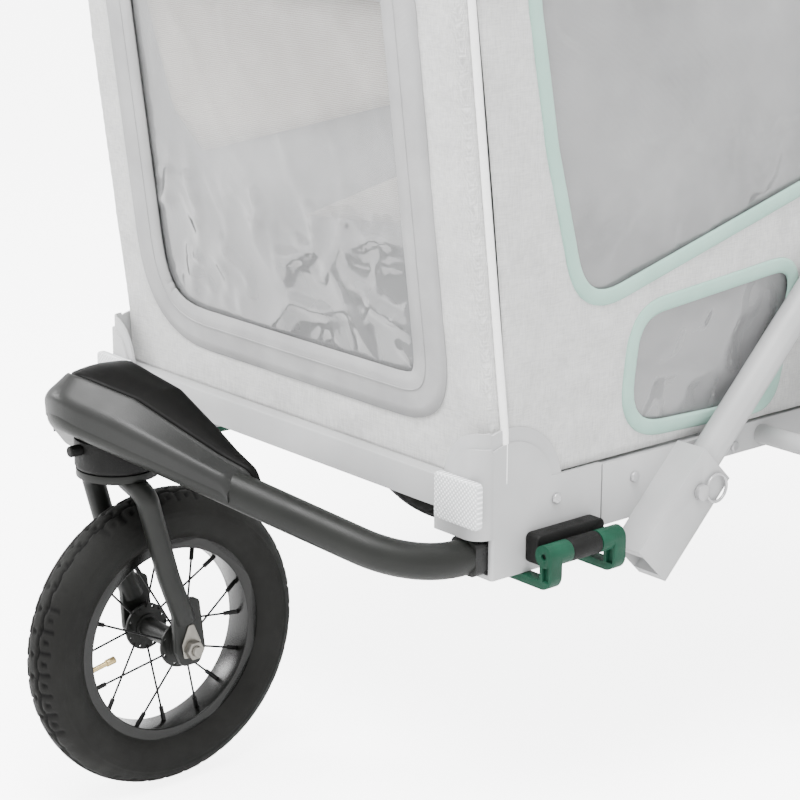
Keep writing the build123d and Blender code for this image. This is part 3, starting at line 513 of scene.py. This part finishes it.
def formed_shell(name, which, radii, rings, slices, wall, material):
    """Grid bent to the cover's sections from tail to tail, given a wall and closed ends."""
    deselect()
    bpy.ops.mesh.primitive_grid_add(x_subdivisions=rings, y_subdivisions=slices, size=2.0, location=(0, 0, 0))
    shell = bpy.context.active_object
    shell.name = name
    places = np.array([v.co[:] for v in shell.data.vertices])
    columns = {}
    for index, (across, along, _) in enumerate(places):
        column = round((across + 1) / 2 * rings)
        if column not in columns:
            x = (2 * column / rings - 1) * (cover_half - 0.0005)
            columns[column] = (x, softened(cover_lines(x)[which], radii, slices + 1))
        x, line = columns[column]
        y, z = line[round((along + 1) / 2 * slices)]
        tail = max(abs(x) / cover_half - 0.93, 0.0) / 0.07
        places[index] = (x, y, z - 0.010 * tail**3)
    shell.data.vertices.foreach_set("co", places.ravel())
    shell.data.update()
    pick(shell)
    bpy.ops.object.mode_set(mode="EDIT")
    bpy.ops.mesh.select_all(action="SELECT")
    bpy.ops.mesh.normals_make_consistent(inside=False)
    bpy.ops.object.mode_set(mode="OBJECT")
    middle = shell.data.polygons[len(shell.data.polygons) // 2]
    if middle.normal.z < 0:
        shell.data.flip_normals()
    relax = shell.modifiers.new("soft", "SMOOTH")
    relax.factor = 0.5
    relax.iterations = 2
    thick = shell.modifiers.new("wall", "SOLIDIFY")
    thick.thickness = wall
    thick.offset = -1.0
    apply_all(shell)
    bpy.ops.object.shade_smooth_by_angle(angle=math.radians(50))
    paint(shell, material)
    return shell


flank_radii = (0.006, 0.004, 0.003, 0.0012)
lid_radii = (0.002, 0.02, 0.008, 0.006)
for node, which, radii, material in (
    ("cover_flank", 0, flank_radii, flank_plastic),
    ("cover_lid", 1, lid_radii, lid_plastic),
):
    shell = formed_shell(node + "_shell", which, radii, 200, 40, 0.0022, material)
    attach(shell, frame["nodes"][node]["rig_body"])
    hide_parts(node)

# ------------------------------------------------------------------ latches
# A ribbed lever of dark green glass-filled nylon on each side, with a black block and a
# steel pin; it hooks under the corner bracket and holds the arm in its receiver.
green, green_shader, green_space = new_material("dark_green_nylon", Specular_IOR_Level=0.16)
mottle = green_space.noise(40.0, 4.0).span(0.3, 0.7)
feed(green_shader, "Base Color", mottle.blend_colours(rgba(0.003, 0.034, 0.018), rgba(0.006, 0.05, 0.028)))
feed(green_shader, "Roughness", green_space.noise(90.0).span(0.3, 0.7, 0.36, 0.5))
bump(green_shader, green_space.cells(1300.0) + 0.4 * green_space.noise(500.0), 0.00018)
dressed("latch_blocks", [moulded], 0.0015)
for side in ("left", "right"):
    dressed("latch_lever_" + side, [green], 0.0015)

# ------------------------------------------------------------------ base frame
# Pale coated aluminium bars joined by moulded corner brackets and receivers, with
# dome-headed bolts, and clear reflectors in front and red ones behind.
pale_tube = coated_metal("pale_coated_tube", (0.33, 0.332, 0.334), (0.39, 0.392, 0.394), 0.36, 0.5)
pale_plastic = coated_metal("pale_moulded_plate", (0.35, 0.352, 0.354), (0.42, 0.422, 0.424), 0.45, 0.6)
pale_bolt = coated_metal("pale_bolt", (0.36, 0.36, 0.365), (0.46, 0.46, 0.465), 0.25, 0.4, 0.5)
for node in ("base_rails", "side_struts", "front_hoop", "rear_hoop", "handle_bar", "wheel_guards"):
    dressed(node, [pale_tube], 0.0012)
for node in ("arm_receivers", "hoop_hinges", "backrest_bar", "rear_axle", "brake_pedal"):
    dressed(node, [pale_tube], 0.0008)
for node in ("corner_brackets", "strut_sockets", "handle_knuckles", "flag_socket", "floor_tray"):
    dressed(node, [pale_plastic], 0.0016, segments=3)
dressed("frame_bolts", [pale_bolt], 0.0006)
for side in ("left", "right"):
    dressed("strut_pin_" + side, [pale_bolt], 0.0004)
    dressed("release_button_" + side, [moulded], 0.0006)

lens, lens_shader, lens_space = new_material("clear_prismatic_lens", Roughness=0.12, Coat_Weight=0.5)
red_lens, red_shader, red_space = new_material("red_prismatic_lens", Roughness=0.15, Coat_Weight=0.5)
for shader, space, low, high in (
    (lens_shader, lens_space, (0.5, 0.51, 0.52), (0.9, 0.91, 0.92)),
    (red_shader, red_space, (0.25, 0.01, 0.01), (0.6, 0.03, 0.03)),
):
    turned = space.stretched((1, 1, 1), (0, math.radians(45), 0))
    other = space.stretched((1, 1, 1), (0, math.radians(-45), 0))
    hatch = turned.waves(90.0, "X", "TRI") * other.waves(90.0, "X", "TRI")
    feed(shader, "Base Color", hatch.span(0.1, 0.6).blend_colours(rgba(*low), rgba(*high)))
    bump(shader, hatch, 0.0006)
dressed("front_reflectors", [lens], 0.0015, segments=3)
dressed("rear_reflectors", [red_lens], 0.0015, segments=3)

# ------------------------------------------------------------------ cabin panels
# A melange polyester cover cut in five panels, sewn together over the two hoops: front,
# roof and rear run as one strip whose edges turn round the corners to meet the sides.
cabin_low, cabin_high = (Vector(corner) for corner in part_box("side_panel_left"))
cabin_half = cabin_high.x
hem_z = cabin_low.z - 0.004
roof_z = cabin_high.z
front_foot_y = cabin_low.y + 0.054
corner_bend = 0.020
seam_gap = 0.03


def rounded(points, radii, step=0.006):
    """Closed outline with its corners as arcs, as evenly spaced points."""
    dense = []
    count = len(points)
    for index in range(count):
        before, here, after = (Vector(points[(index + k) % count]) for k in (-1, 0, 1))
        into, out = (before - here), (after - here)
        half = into.angle(out) / 2
        reach = min(radii[index] / math.tan(half), 0.49 * into.length, 0.49 * out.length)
        start, end = here + into.normalized() * reach, here + out.normalized() * reach
        dense += corner_arc(start, here, end)
    return evenly(dense, step)


def evenly(points, step, closed=True):
    """The same line with its points one step apart."""
    line = [Vector(p) for p in points] + ([Vector(points[0])] if closed else [])
    lengths = [0.0]
    for first, second in zip(line, line[1:]):
        lengths.append(lengths[-1] + (second - first).length)
    count = max(4, round(lengths[-1] / step))
    marks = np.linspace(0, lengths[-1], count + 1)
    columns = [np.interp(marks, lengths, [p[axis] for p in line]) for axis in range(len(line[0]))]
    made = [Vector(p) for p in zip(*columns)]
    return made[:-1] if closed else made


def inside(outline, places):
    """Which of the places lie inside a closed outline."""
    x, y = places[:, 0], places[:, 1]
    hit = np.zeros(len(places), bool)
    for first, second in zip(outline, outline[1:] + outline[:1]):
        crosses = (first[1] > y) != (second[1] > y)
        if crosses.any():
            slope = (second[0] - first[0]) / ((second[1] - first[1]) or 1e-12)
            hit ^= crosses & (x < first[0] + slope * (y - first[1]))
    return hit


def area_of(outline):
    pairs = zip(outline, outline[1:] + outline[:1])
    return abs(sum(a[0] * b[1] - b[0] * a[1] for a, b in pairs)) / 2


def new_mesh(name, points, faces, flip=False):
    mesh = bpy.data.meshes.new(name)
    mesh.from_pydata([tuple(p) for p in points], [], faces)
    if flip:
        mesh.flip_normals()
    piece = bpy.data.objects.new(name, mesh)
    bpy.context.scene.collection.objects.link(piece)
    pick(piece)
    bpy.ops.object.shade_smooth()
    return piece


def cut_sheet(name, outline, holes, spacing, place, ruffle, material, flip=False, thickness=0.0011):
    """Cloth cut to an outline, filled with small triangles, set in place and given its thickness."""
    rims = [evenly(line, spacing) for line in [outline] + holes]
    points = [p for rim in rims for p in rim]
    edges = []
    base = 0
    for rim in rims:
        edges += [(base + k, base + (k + 1) % len(rim)) for k in range(len(rim))]
        base += len(rim)
    low = [min(p[axis] for p in rims[0]) for axis in (0, 1)]
    high = [max(p[axis] for p in rims[0]) for axis in (0, 1)]
    across, up = np.meshgrid(np.arange(low[0], high[0], spacing), np.arange(low[1], high[1], spacing * 0.87))
    across[1::2] += spacing / 2
    grid = np.column_stack([across.ravel(), up.ravel()])
    grid = grid[inside(rims[0], grid)]
    for rim in rims[1:]:
        grid = grid[~inside(rim, grid)]
    rim_places = np.array([tuple(p) for p in points])
    gap = np.sqrt(((grid[:, None, :] - rim_places[None]) ** 2).sum(2)).min(1)
    grid = grid[gap > spacing * 0.6]
    points += [Vector(p) for p in grid]
    verts, _, faces, *_ = delaunay_2d_cdt(points, edges, [], 0, 1e-7)
    flat = np.array([tuple(v) for v in verts])
    middles = np.array([flat[list(face)].mean(0) for face in faces])
    kept = inside(rims[0], middles)
    for rim in rims[1:]:
        kept &= ~inside(rim, middles)
    faces = [tuple(face) for face, keep in zip(faces, kept) if keep]
    edge = np.sqrt(((flat[:, None, :] - rim_places[None]) ** 2).sum(2)).min(1)
    calm = np.clip(edge / seam_gap, 0, 1)
    placed = [place(u, v, ruffle(u, v) * hold) for (u, v), hold in zip(flat, calm)]
    piece = new_mesh(name, placed, faces, flip)
    wall = piece.modifiers.new("cloth", "SOLIDIFY")
    wall.thickness = thickness
    wall.offset = -1.0
    apply_all(piece)
    paint(piece, material)
    piece["cut"] = (high[0] - low[0], high[1] - low[1], area_of(rims[0]) - sum(area_of(r) for r in rims[1:]))
    return piece


def sweep_loop(name, loop, section, place, material, flip=False, closed=True):
    """Band or cord whose section, as (sideways, lift) pairs, follows a line drawn on a panel."""
    count = len(loop)
    points, faces = [], []
    for index in range(count):
        before, after = loop[index - 1] if closed or index else loop[0], loop[(index + 1) % count]
        if not closed and index == count - 1:
            after = loop[index]
        run = (after - before).normalized()
        side = Vector((run.y, -run.x))
        for sideways, lift in section:
            spot = loop[index] + side * sideways
            points.append(place(spot.x, spot.y, lift))
    ring = len(section)
    for index in range(count if closed else count - 1):
        for k in range(ring):
            a, b = index * ring + k, index * ring + (k + 1) % ring
            c, d = ((index + 1) % count) * ring + (k + 1) % ring, ((index + 1) % count) * ring + k
            faces.append((a, b, c, d))
    if not closed:
        faces += [tuple(range(ring))[::-1], tuple(range((count - 1) * ring, count * ring))]
    piece = new_mesh(name, points, faces, flip)
    pick(piece)
    bpy.ops.object.mode_set(mode="EDIT")
    bpy.ops.mesh.select_all(action="SELECT")
    bpy.ops.mesh.normals_make_consistent(inside=False)
    bpy.ops.object.mode_set(mode="OBJECT")
    paint(piece, material)
    return piece


def folds_away(piece, nodes=()):
    """The real cover collapses onto the frame as the front hoop folds; here the piece is tied to the base
    body with a mesh of its own, and the CAD nodes it stands for are hidden.
    """
    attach(piece, "base")
    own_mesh(piece)
    if nodes:
        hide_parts(*nodes)


def stretched_sheet(piece, nodes=()):
    folds_away(piece, nodes)


strip_corners = [
    (front_foot_y, hem_z),
    (front_foot_y, hem_z + 0.05),
    (cabin_low.y, roof_z - 0.075),
    (cabin_low.y + 0.052, roof_z - 0.020),
    (cabin_high.y - 0.187, roof_z),
    (cabin_high.y - 0.097, roof_z - 0.055),
    (cabin_high.y, roof_z - 0.445),
    (cabin_high.y, hem_z),
]
strip_radii = [0.0, 0.15, 0.06, 0.06, 0.08, 0.08, 0.12, 0.0]


def strip_line():
    """Side view of the front, roof and rear as one open line of (y, z) points."""
    dense = []
    last = len(strip_corners) - 1
    for index, (corner, radius) in enumerate(zip(strip_corners, strip_radii)):
        here = Vector(corner)
        if index in (0, last):
            dense.append(here)
            continue
        into, out = Vector(strip_corners[index - 1]) - here, Vector(strip_corners[index + 1]) - here
        reach = min(radius / math.tan(into.angle(out) / 2), 0.45 * into.length, 0.45 * out.length)
        start, end = here + into.normalized() * reach, here + out.normalized() * reach
        dense += corner_arc(start, here, end)
    return evenly(dense, 0.004, closed=False)


strip = strip_line()
strip_marks = np.concatenate([[0], np.cumsum([(b - a).length for a, b in zip(strip, strip[1:])])])
strip_y = [p.x for p in strip]
strip_z = [p.y for p in strip]
strip_length = float(strip_marks[-1])
strip_edge = cabin_half - corner_bend + corner_bend * math.pi / 2


def on_strip(u, v, lift):
    """Point of the strip: u across from the middle, v along from the front hem."""
    at = [float(np.interp(v + d, strip_marks, line)) for d in (-0.004, 0.004) for line in (strip_y, strip_z)]
    run = Vector((at[2] - at[0], at[3] - at[1])).normalized()
    out = Vector((-run.y, run.x))
    y, z = (at[0] + at[2]) / 2, (at[1] + at[3]) / 2
    flat = cabin_half - corner_bend
    turn = min(max((abs(u) - flat) / corner_bend, 0.0), math.pi / 2)
    side = math.copysign(1.0, u)
    crown = 0.007 * (1 - min(abs(u) / flat, 1.0) ** 2) * math.sin(math.pi * min(max(v / strip_length, 0), 1))
    depth = corner_bend * (1 - math.cos(turn)) - lift * math.cos(turn) - crown
    x = side * (min(abs(u), flat) + corner_bend * math.sin(turn) + lift * math.sin(turn))
    return Vector((x, y - out.x * depth, z - out.y * depth))


def along_strip(y, z):
    """Distance along the strip of its point nearest to (y, z)."""
    gaps = [(p.x - y) ** 2 + (p.y - z) ** 2 for p in strip]
    return float(strip_marks[int(np.argmin(gaps))])


def slack(scale, seed):
    """Soft wrinkles of stretched cloth, as a function of the place on the panel."""

    def height(u, v):
        spot = Vector((u, v, seed))
        broad = noise.noise(spot * 5.0)
        crease = 1 - abs(noise.noise(Vector((u * 9 + v * 5, v * 13 - u * 4, seed)))) * 2
        fine = noise.noise(Vector((u * 40, v * 26, seed)))
        return scale * (broad * 1.2 + max(crease, 0) ** 4 * 0.8 + fine * 0.25)

    return height


cloth, cloth_shader, cloth_space = new_material("melange_polyester", Roughness=0.9, Sheen_Weight=0.25)
weft = cloth_space.stretched((90, 90, 1400)).noise(1.0, 3.0)
warp = cloth_space.stretched((700, 700, 90)).noise(1.0, 3.0)
slub = weft * 0.5 + warp * 0.5
blotch = cloth_space.noise(26.0, 5.0, 0.6)
tone = (slub * 0.7 + blotch * 0.3).span(0.38, 0.62)
feed(cloth_shader, "Base Color", tone.blend_colours(rgba(0.64, 0.64, 0.63), rgba(0.90, 0.90, 0.885)))
weave = cloth_space.waves(420.0, "Z") + cloth_space.waves(420.0, "X") + cloth_space.waves(420.0, "Y")
bump(cloth_shader, weave * 0.4 + slub * 1.2 + cloth_space.noise(12.0, 6.0, 0.6) * 3.0, 0.0011)

lining, lining_shader, lining_space = new_material("grey_window_border", Roughness=0.8)
lining_tone = lining_space.noise(18.0, 4.0).span(0.3, 0.7)
feed(lining_shader, "Base Color", lining_tone.blend_colours(rgba(0.30, 0.30, 0.302), rgba(0.37, 0.37, 0.372)))
bump(lining_shader, lining_space.noise(900.0, 2.0) + lining_space.waves(300.0, "Z"), 0.0003)

mint, mint_shader, mint_space = new_material("mint_binding_tape", Roughness=0.85, Sheen_Weight=0.2)
rib = mint_space.waves(500.0, "DIAGONAL")
mint_tone = (rib * 0.4 + mint_space.noise(30.0, 4.0) * 0.6).span(0.25, 0.75)
feed(mint_shader, "Base Color", mint_tone.blend_colours(rgba(0.27, 0.47, 0.395), rgba(0.36, 0.56, 0.485)))
bump(mint_shader, rib + mint_space.noise(600.0), 0.0003)

piping_cord, piping_shader, piping_space = new_material("white_piping", Roughness=0.6)
piping_tone = piping_space.noise(200.0).span(0.3, 0.7)
feed(piping_shader, "Base Color", piping_tone.blend_colours(rgba(0.86, 0.86, 0.85), rgba(0.93, 0.93, 0.92)))
bump(piping_shader, piping_space.noise(1200.0), 0.0002)

film, film_shader, film_space = new_material(
    "clear_window_film", Roughness=0.1, Coat_Weight=1.0, Coat_Roughness=0.04
)
film_z = film_space.node("ShaderNodeSeparateXYZ", None, {0: film_space}, output=2)
# The lower part of the film is painted darker by height: painted shade towards its lower edge, mixed with a
# random cloudy haze.
lower_painted_shade = film_z.span(hem_z + 0.16, hem_z + 0.30, 0.75, 0.0)
haze_and_painted_shade = (film_space.noise(7.0, 5.0, 0.6).span(0.3, 0.7) - lower_painted_shade).span(0.0, 1.0)
feed(film_shader, "Base Color", haze_and_painted_shade.blend_colours(rgba(0.26, 0.262, 0.265), rgba(0.44, 0.442, 0.445)))
feed(film_shader, "Alpha", (lower_painted_shade * 0.45 + 0.3).span(0.0, 1.0))
bump(film_shader, film_space.noise(16.0, 3.0, 0.5), 0.002)

blind, blind_shader, blind_space = new_material("beige_blind_mesh", Roughness=0.85)
cord_rows = blind_space.waves(150.0, "Z", "SIN")
blind_colour = cord_rows.span(0.2, 0.8).blend_colours(rgba(0.56, 0.50, 0.42), rgba(0.88, 0.83, 0.75))
feed(blind_shader, "Base Color", blind_colour)
bump(blind_shader, cord_rows + blind_space.waves(260.0, "X"), 0.0006)

front_end = along_strip(cabin_low.y + 0.012, roof_z - 0.05)
rear_start = along_strip(cabin_high.y - 0.085, roof_z - 0.09)
window_half = 0.247
window_foot = along_strip(front_foot_y, hem_z + 0.046)
window_head = front_end - 0.045
window_outline = rounded(
    [
        (-window_half, window_foot), (window_half, window_foot),
        (window_half, window_head), (-window_half, window_head),
    ],
    [0.11, 0.07, 0.05, 0.05],
)
border = 0.045


def shrunk(outline, amount):
    """The outline drawn again a constant distance inside itself."""
    count = len(outline)
    made = []
    for index, here in enumerate(outline):
        run = (outline[(index + 1) % count] - outline[index - 1]).normalized()
        made.append(here + Vector((-run.y, run.x)) * amount)
    return made




def strip_length_of(start, end):
    """Outline of the full width of the strip between two distances along it."""
    return [(-strip_edge, start), (strip_edge, start), (strip_edge, end), (-strip_edge, end)]


front_skin = cut_sheet(
    "front_fabric", strip_length_of(0, front_end), [shrunk(window_outline, 0.012)], 0.0085,
    on_strip, slack(0.0016, 1.0), cloth,
)
ring_section = [(-border / 2, -0.0006), (border / 2, -0.0006), (border / 2, 0.0016), (border / 4, 0.0026),
                (0.0, 0.0024), (-border / 4, 0.0026), (-border / 2, 0.0016)]
front_ring = sweep_loop(
    "front_window_border", shrunk(window_outline, border / 2), ring_section, on_strip, lining
)
stitch_section = [(-0.0007, 0.002), (0.0007, 0.002), (0.0007, 0.0031), (-0.0007, 0.0031)]
front_stitch = sweep_loop(
    "front_window_seam", shrunk(window_outline, border * 0.62), stitch_section, on_strip, lining
)
roof_skin = cut_sheet(
    "roof_fabric", strip_length_of(front_end, rear_start), [], 0.012, on_strip, slack(0.0018, 2.0), cloth
)
rear_skin = cut_sheet(
    "rear_fabric", strip_length_of(rear_start, strip_length), [], 0.010, on_strip, slack(0.0022, 3.0), cloth
)


def cord_section(radius, lift, sides):
    """Round section of a cord, as (sideways, lift) pairs."""
    turns = [k * 2 * math.pi / sides for k in range(sides)]
    return [(radius * math.cos(turn), lift + radius * math.sin(turn)) for turn in turns]


seams = []
for name, mark in (("front_roof_seam", front_end), ("roof_rear_seam", rear_start)):
    line = [Vector((u, mark)) for u in np.linspace(-strip_edge, strip_edge, 90)]
    seams.append(sweep_loop(name, line, cord_section(0.0024, 0.0012, 8), on_strip, cloth, closed=False))
pipings = []
for name, side in (("piping_left", 1), ("piping_right", -1)):
    line = [Vector((side * (strip_edge - 0.004), v)) for v in np.arange(0.002, strip_length, 0.006)]
    cord = cord_section(0.0036, 0.002, 10)
    pipings.append(sweep_loop(name, line, cord, on_strip, piping_cord, closed=False))
for piece in [front_ring, front_stitch] + seams + pipings:
    folds_away(piece)
stretched_sheet(front_skin, ["front_panel"])
stretched_sheet(roof_skin, ["roof_panel"])
stretched_sheet(rear_skin, ["rear_panel"])

# ------------------------------------------------------------------ windows
# Soft clear film sewn behind the window borders, with a grey lining and a beige mesh
# blind hanging behind the front one; crumpled towards its lower edge.


def crumple(scale, seed, low_z):
    """Broad slack with sharp short creases, stronger towards the lower edge."""

    def height(u, v):
        heavy = 1.0 if v < low_z else 0.35
        turned = Vector((u * 11 + v * 6, v * 9 - u * 6, seed))
        ridge = (1 - abs(noise.noise(turned)) * 2.2)
        short = (1 - abs(noise.noise(turned * 2.3)) * 2.2)
        broad = noise.noise(Vector((u * 6, v * 6, seed + 4)))
        return scale * (broad + heavy * (max(ridge, 0) ** 3 * 1.3 + max(short, 0) ** 4 * 0.7))

    return height


film_outline = shrunk(window_outline, border - 0.008)
front_film = cut_sheet(
    "front_window_film", film_outline, [], 0.0065, lambda u, v, lift: on_strip(u, v, lift - 0.004),
    crumple(0.0045, 5.0, window_foot + 0.19), film, thickness=0.0005,
)
stretched_sheet(front_film, ["front_window"])
back_outline = shrunk(window_outline, 0.02)
front_lining = cut_sheet(
    "front_window_lining", back_outline, [], 0.014, lambda u, v, lift: on_strip(u, v, lift - 0.018),
    slack(0.003, 7.0), lining, thickness=0.0008,
)
stretched_sheet(front_lining)
blind_half = window_half - border
blind_outline = [
    (blind_half, window_head - 0.03), (-blind_half, window_head - 0.03),
    (-blind_half + 0.035, window_foot + 0.255),
    (-blind_half + 0.08, window_foot + 0.215),
    (blind_half, window_foot + 0.305),
]
front_blind = cut_sheet(
    "front_blind", blind_outline, [], 0.014, lambda u, v, lift: on_strip(u, v, lift - 0.013),
    slack(0.0015, 8.0), blind, thickness=0.0008,
)
stretched_sheet(front_blind)
lower_blind_outline = [
    (blind_half, window_foot + 0.24),
    (blind_half - 0.165, window_foot + 0.172),
    (blind_half, window_foot + 0.19),
]
lower_blind = cut_sheet(
    "front_blind_strip", lower_blind_outline, [], 0.012, lambda u, v, lift: on_strip(u, v, lift - 0.013),
    slack(0.001, 9.0), blind, thickness=0.0008,
)
stretched_sheet(lower_blind)

# ------------------------------------------------------------------ side panels
# Each side is one cut of the same cloth with two windows, bound with mint tape round
# each opening and joined to the strip at the piped seam.


def side_border():
    """The strip's line drawn a corner bend inside itself, as a closed outline."""
    inner = []
    for index, here in enumerate(strip):
        run = (strip[min(index + 1, len(strip) - 1)] - strip[max(index - 1, 0)]).normalized()
        inner.append(here - Vector((-run.y, run.x)) * corner_bend)
    return evenly(inner, 0.008)


upper_corners = [
    (cabin_low.y + 0.086, roof_z - 0.090),
    (cabin_low.y + 0.118, roof_z - 0.270),
    (cabin_low.y + 0.162, hem_z + 0.150),
    (cabin_low.y + 0.480, hem_z + 0.236),
    (cabin_high.y - 0.240, hem_z + 0.300),
    (cabin_high.y - 0.210, hem_z + 0.360),
    (cabin_high.y - 0.270, roof_z - 0.075),
]
upper_radii = [0.05, 0.25, 0.055, 0.3, 0.06, 0.06, 0.05]
lower_corners = [
    (cabin_low.y + 0.224, hem_z + 0.020),
    (cabin_low.y + 0.440, hem_z + 0.012),
    (cabin_low.y + 0.470, hem_z + 0.160),
    (cabin_low.y + 0.236, hem_z + 0.140),
]
lower_radii = [0.052, 0.03, 0.03, 0.045]
upper_window = rounded(upper_corners, upper_radii)
lower_window = rounded(lower_corners, lower_radii)
tape = 0.0155
tape_section = [(-tape / 2, -0.0006), (tape / 2, -0.0006), (tape / 2, 0.0012), (tape / 3, 0.0024),
                (0.0, 0.0028), (-tape / 3, 0.0024), (-tape / 2, 0.0012)]


def counter_clockwise(outline):
    total = sum(a[0] * b[1] - b[0] * a[1] for a, b in zip(outline, outline[1:] + outline[:1]))
    return outline if total > 0 else outline[::-1]


panel_outline = counter_clockwise(side_border())
openings = [counter_clockwise(upper_window), counter_clockwise(lower_window)]
for side, sign in (("left", 1), ("right", -1)):

    def on_side(u, v, lift, sign=sign):
        crown = 0.006 * math.sin(math.pi * min(max((v - hem_z) / (roof_z - hem_z), 0), 1))
        return Vector((sign * (cabin_half + crown + lift), u, v))

    def behind_side(u, v, lift):
        return on_side(u, v, lift - 0.004)

    def lining_side(u, v, lift):
        return on_side(u, v, lift - 0.0095)

    skin = cut_sheet(
        "side_fabric_" + side, panel_outline, [shrunk(o, 0.003) for o in openings], 0.0095,
        on_side, slack(0.0017, 10.0 + sign), cloth, flip=sign < 0,
    )
    for name, opening in zip(("upper", "lower"), openings):
        band = sweep_loop(name + "_window_tape_" + side, opening, tape_section, on_side, mint)
        folds_away(band)
        pane = cut_sheet(
            name + "_window_film_" + side, shrunk(opening, -0.004), [], 0.008,
            behind_side, crumple(0.0035, 20.0 + sign, hem_z + 0.3), film, flip=sign < 0, thickness=0.0005,
        )
        backing = cut_sheet(
            name + "_window_lining_" + side, shrunk(opening, -0.005), [], 0.016,
            lining_side, slack(0.0015, 30.0 + sign), lining, flip=sign < 0, thickness=0.0008,
        )
        stood_for = ["side_windows"] if (side, name) == ("left", "upper") else []
        stretched_sheet(pane, stood_for)
        stretched_sheet(backing)
    stretched_sheet(skin, ["side_panel_" + side])

# ------------------------------------------------------------------ seat
# A foam bench cushion and backrest in grey cloth, and flat webbing harness straps for two
# children, lying on the backrest.
seat_cloth, seat_shader, seat_space = new_material("dark_seat_cloth", Roughness=0.92, Sheen_Weight=0.2)
seat_tone = (seat_space.noise(700.0, 2.0) * 0.5 + seat_space.noise(20.0, 4.0) * 0.5).span(0.35, 0.65)
feed(seat_shader, "Base Color", seat_tone.blend_colours(rgba(0.30, 0.30, 0.31), rgba(0.38, 0.38, 0.39)))
seat_weave = seat_space.waves(380.0, "X") + seat_space.waves(380.0, "Z")
bump(seat_shader, seat_weave + seat_space.noise(40.0), 0.0006)


def stuffed(node, name, body, swell, voxel=0.009):
    """Foam pad in its cover: the CAD form remeshed and blown up a little by cloth pressure."""
    source = frame["nodes"][node]
    pad = source.copy()
    pad.data = source.data.copy()
    pad.name = name
    for key in list(pad.keys()):
        del pad[key]
    pad.parent = None
    bpy.context.scene.collection.objects.link(pad)
    centre = sum((Vector(c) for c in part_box(node)), Vector()) / 2
    pad.data.transform(Matrix.Translation(centre) @ Matrix.Scale(0.975, 4) @ Matrix.Translation(-centre))
    remesh = pad.modifiers.new("even", "REMESH")
    remesh.mode = "VOXEL"
    remesh.voxel_size = voxel
    apply_all(pad)
    smooth = pad.modifiers.new("soft", "SMOOTH")
    smooth.factor = 0.7
    smooth.iterations = 6
    apply_all(pad)
    rest = np.array([v.co[:] for v in pad.data.vertices])
    cloth_sim = pad.modifiers.new("cover", "CLOTH")
    cloth_sim.settings.use_pressure = True
    cloth_sim.settings.uniform_pressure_force = 4.0
    cloth_sim.settings.effector_weights.gravity = 0.0
    cloth_sim.settings.quality = 4
    for step in range(1, 15):
        bpy.context.scene.frame_set(step)
    apply_all(pad)
    bpy.context.scene.frame_set(1)
    moved = np.array([v.co[:] for v in pad.data.vertices]) - rest
    length = np.linalg.norm(moved, axis=1, keepdims=True)
    held = rest + moved * np.minimum(1.0, swell / np.maximum(length, 1e-9))
    pad.data.vertices.foreach_set("co", held.ravel())
    fine = pad.modifiers.new("fine", "SUBSURF")
    fine.levels = fine.render_levels = 1
    apply_all(pad)
    bpy.ops.object.shade_smooth()
    paint(pad, seat_cloth)
    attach(pad, body)
    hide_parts(node)
    return pad


stuffed("seat_cushion", "bench_cushion", "base", 0.003)
stuffed("backrest", "backrest_pad", "backrest", 0.002)

webbing, webbing_shader, webbing_space = new_material("harness_webbing", Roughness=0.7)
rows = webbing_space.waves(260.0, "Z")
feed(webbing_shader, "Base Color", rows.blend_colours(rgba(0.16, 0.16, 0.165), rgba(0.24, 0.24, 0.245)))
bump(webbing_shader, rows + webbing_space.waves(500.0, "X"), 0.0005)
strap_low, strap_high = (Vector(corner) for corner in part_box("harness_straps"))
strap_width = 0.026
strap_points, strap_faces = [], []
for centre in (-0.115, 0.115):
    for offset in (-0.042, 0.042):
        start = len(strap_points)
        rungs = 40
        for k in range(rungs + 1):
            t = k / rungs
            y = strap_low.y + (strap_high.y - strap_low.y) * t - 0.001 - 0.004 * math.sin(math.pi * t)
            z = strap_low.z + (strap_high.z - strap_low.z) * t
            sway = 0.003 * math.sin(2.4 * math.pi * t + offset * 40)
            for edge in (-0.5, -0.3, 0.3, 0.5):
                strap_points.append((centre + offset + sway + edge * strap_width, y, z))
        for k in range(rungs):
            for e in range(3):
                a = start + k * 4 + e
                strap_faces.append((a, a + 1, a + 5, a + 4))
straps = new_mesh("harness_webbing", strap_points, strap_faces)
strap_wall = straps.modifiers.new("webbing", "SOLIDIFY")
strap_wall.thickness = 0.0016
strap_wall.offset = 1.0
apply_all(straps)
paint(straps, webbing)
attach(straps, "backrest")
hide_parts("harness_straps")

# ------------------------------------------------------------------ handle grip
# A closed-cell foam sleeve pushed over the cross tube of the handle.
foam, foam_shader, foam_space = new_material("grey_foam_grip")
pores = foam_space.cells(900.0)
foam_colour = pores.span(0.0, 0.7).blend_colours(rgba(0.34, 0.34, 0.34), rgba(0.46, 0.46, 0.46))
feed(foam_shader, "Base Color", foam_colour)
feed(foam_shader, "Roughness", foam_space.noise(60.0).span(0.3, 0.7, 0.75, 0.9))
bump(foam_shader, pores + foam_space.noise(90.0), 0.0007)
dressed("handle_grip", [foam], 0.004, segments=4)

# ------------------------------------------------------------------ rear wheels
# Twenty inch wheels with black rims and steel spokes, turned hubs and a press button
# in each hub that frees the wheel.
for side in ("left", "right"):
    low, high = (Vector(corner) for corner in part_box("rear_tyre_" + side))
    wheel_radius = (high.z - low.z) / 2 - crown_allowance
    rear = treaded_tyre(
        "rear_tyre_tread_" + side, (low + high) / 2, wheel_radius, (high.x - low.x) / 2,
        rings=840, slices=72, pitches=70, depth=0.0014,
    )
    paint(rear, rubber)
    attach(rear, "wheel_" + side)
    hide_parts("rear_tyre_" + side)
    dressed("rear_rim_" + side, [black_gloss], 0.001)
    dressed("rear_spokes_" + side, [black_wire], 0.0)
    dressed("rear_hub_" + side, [black_coat], 0.0006)
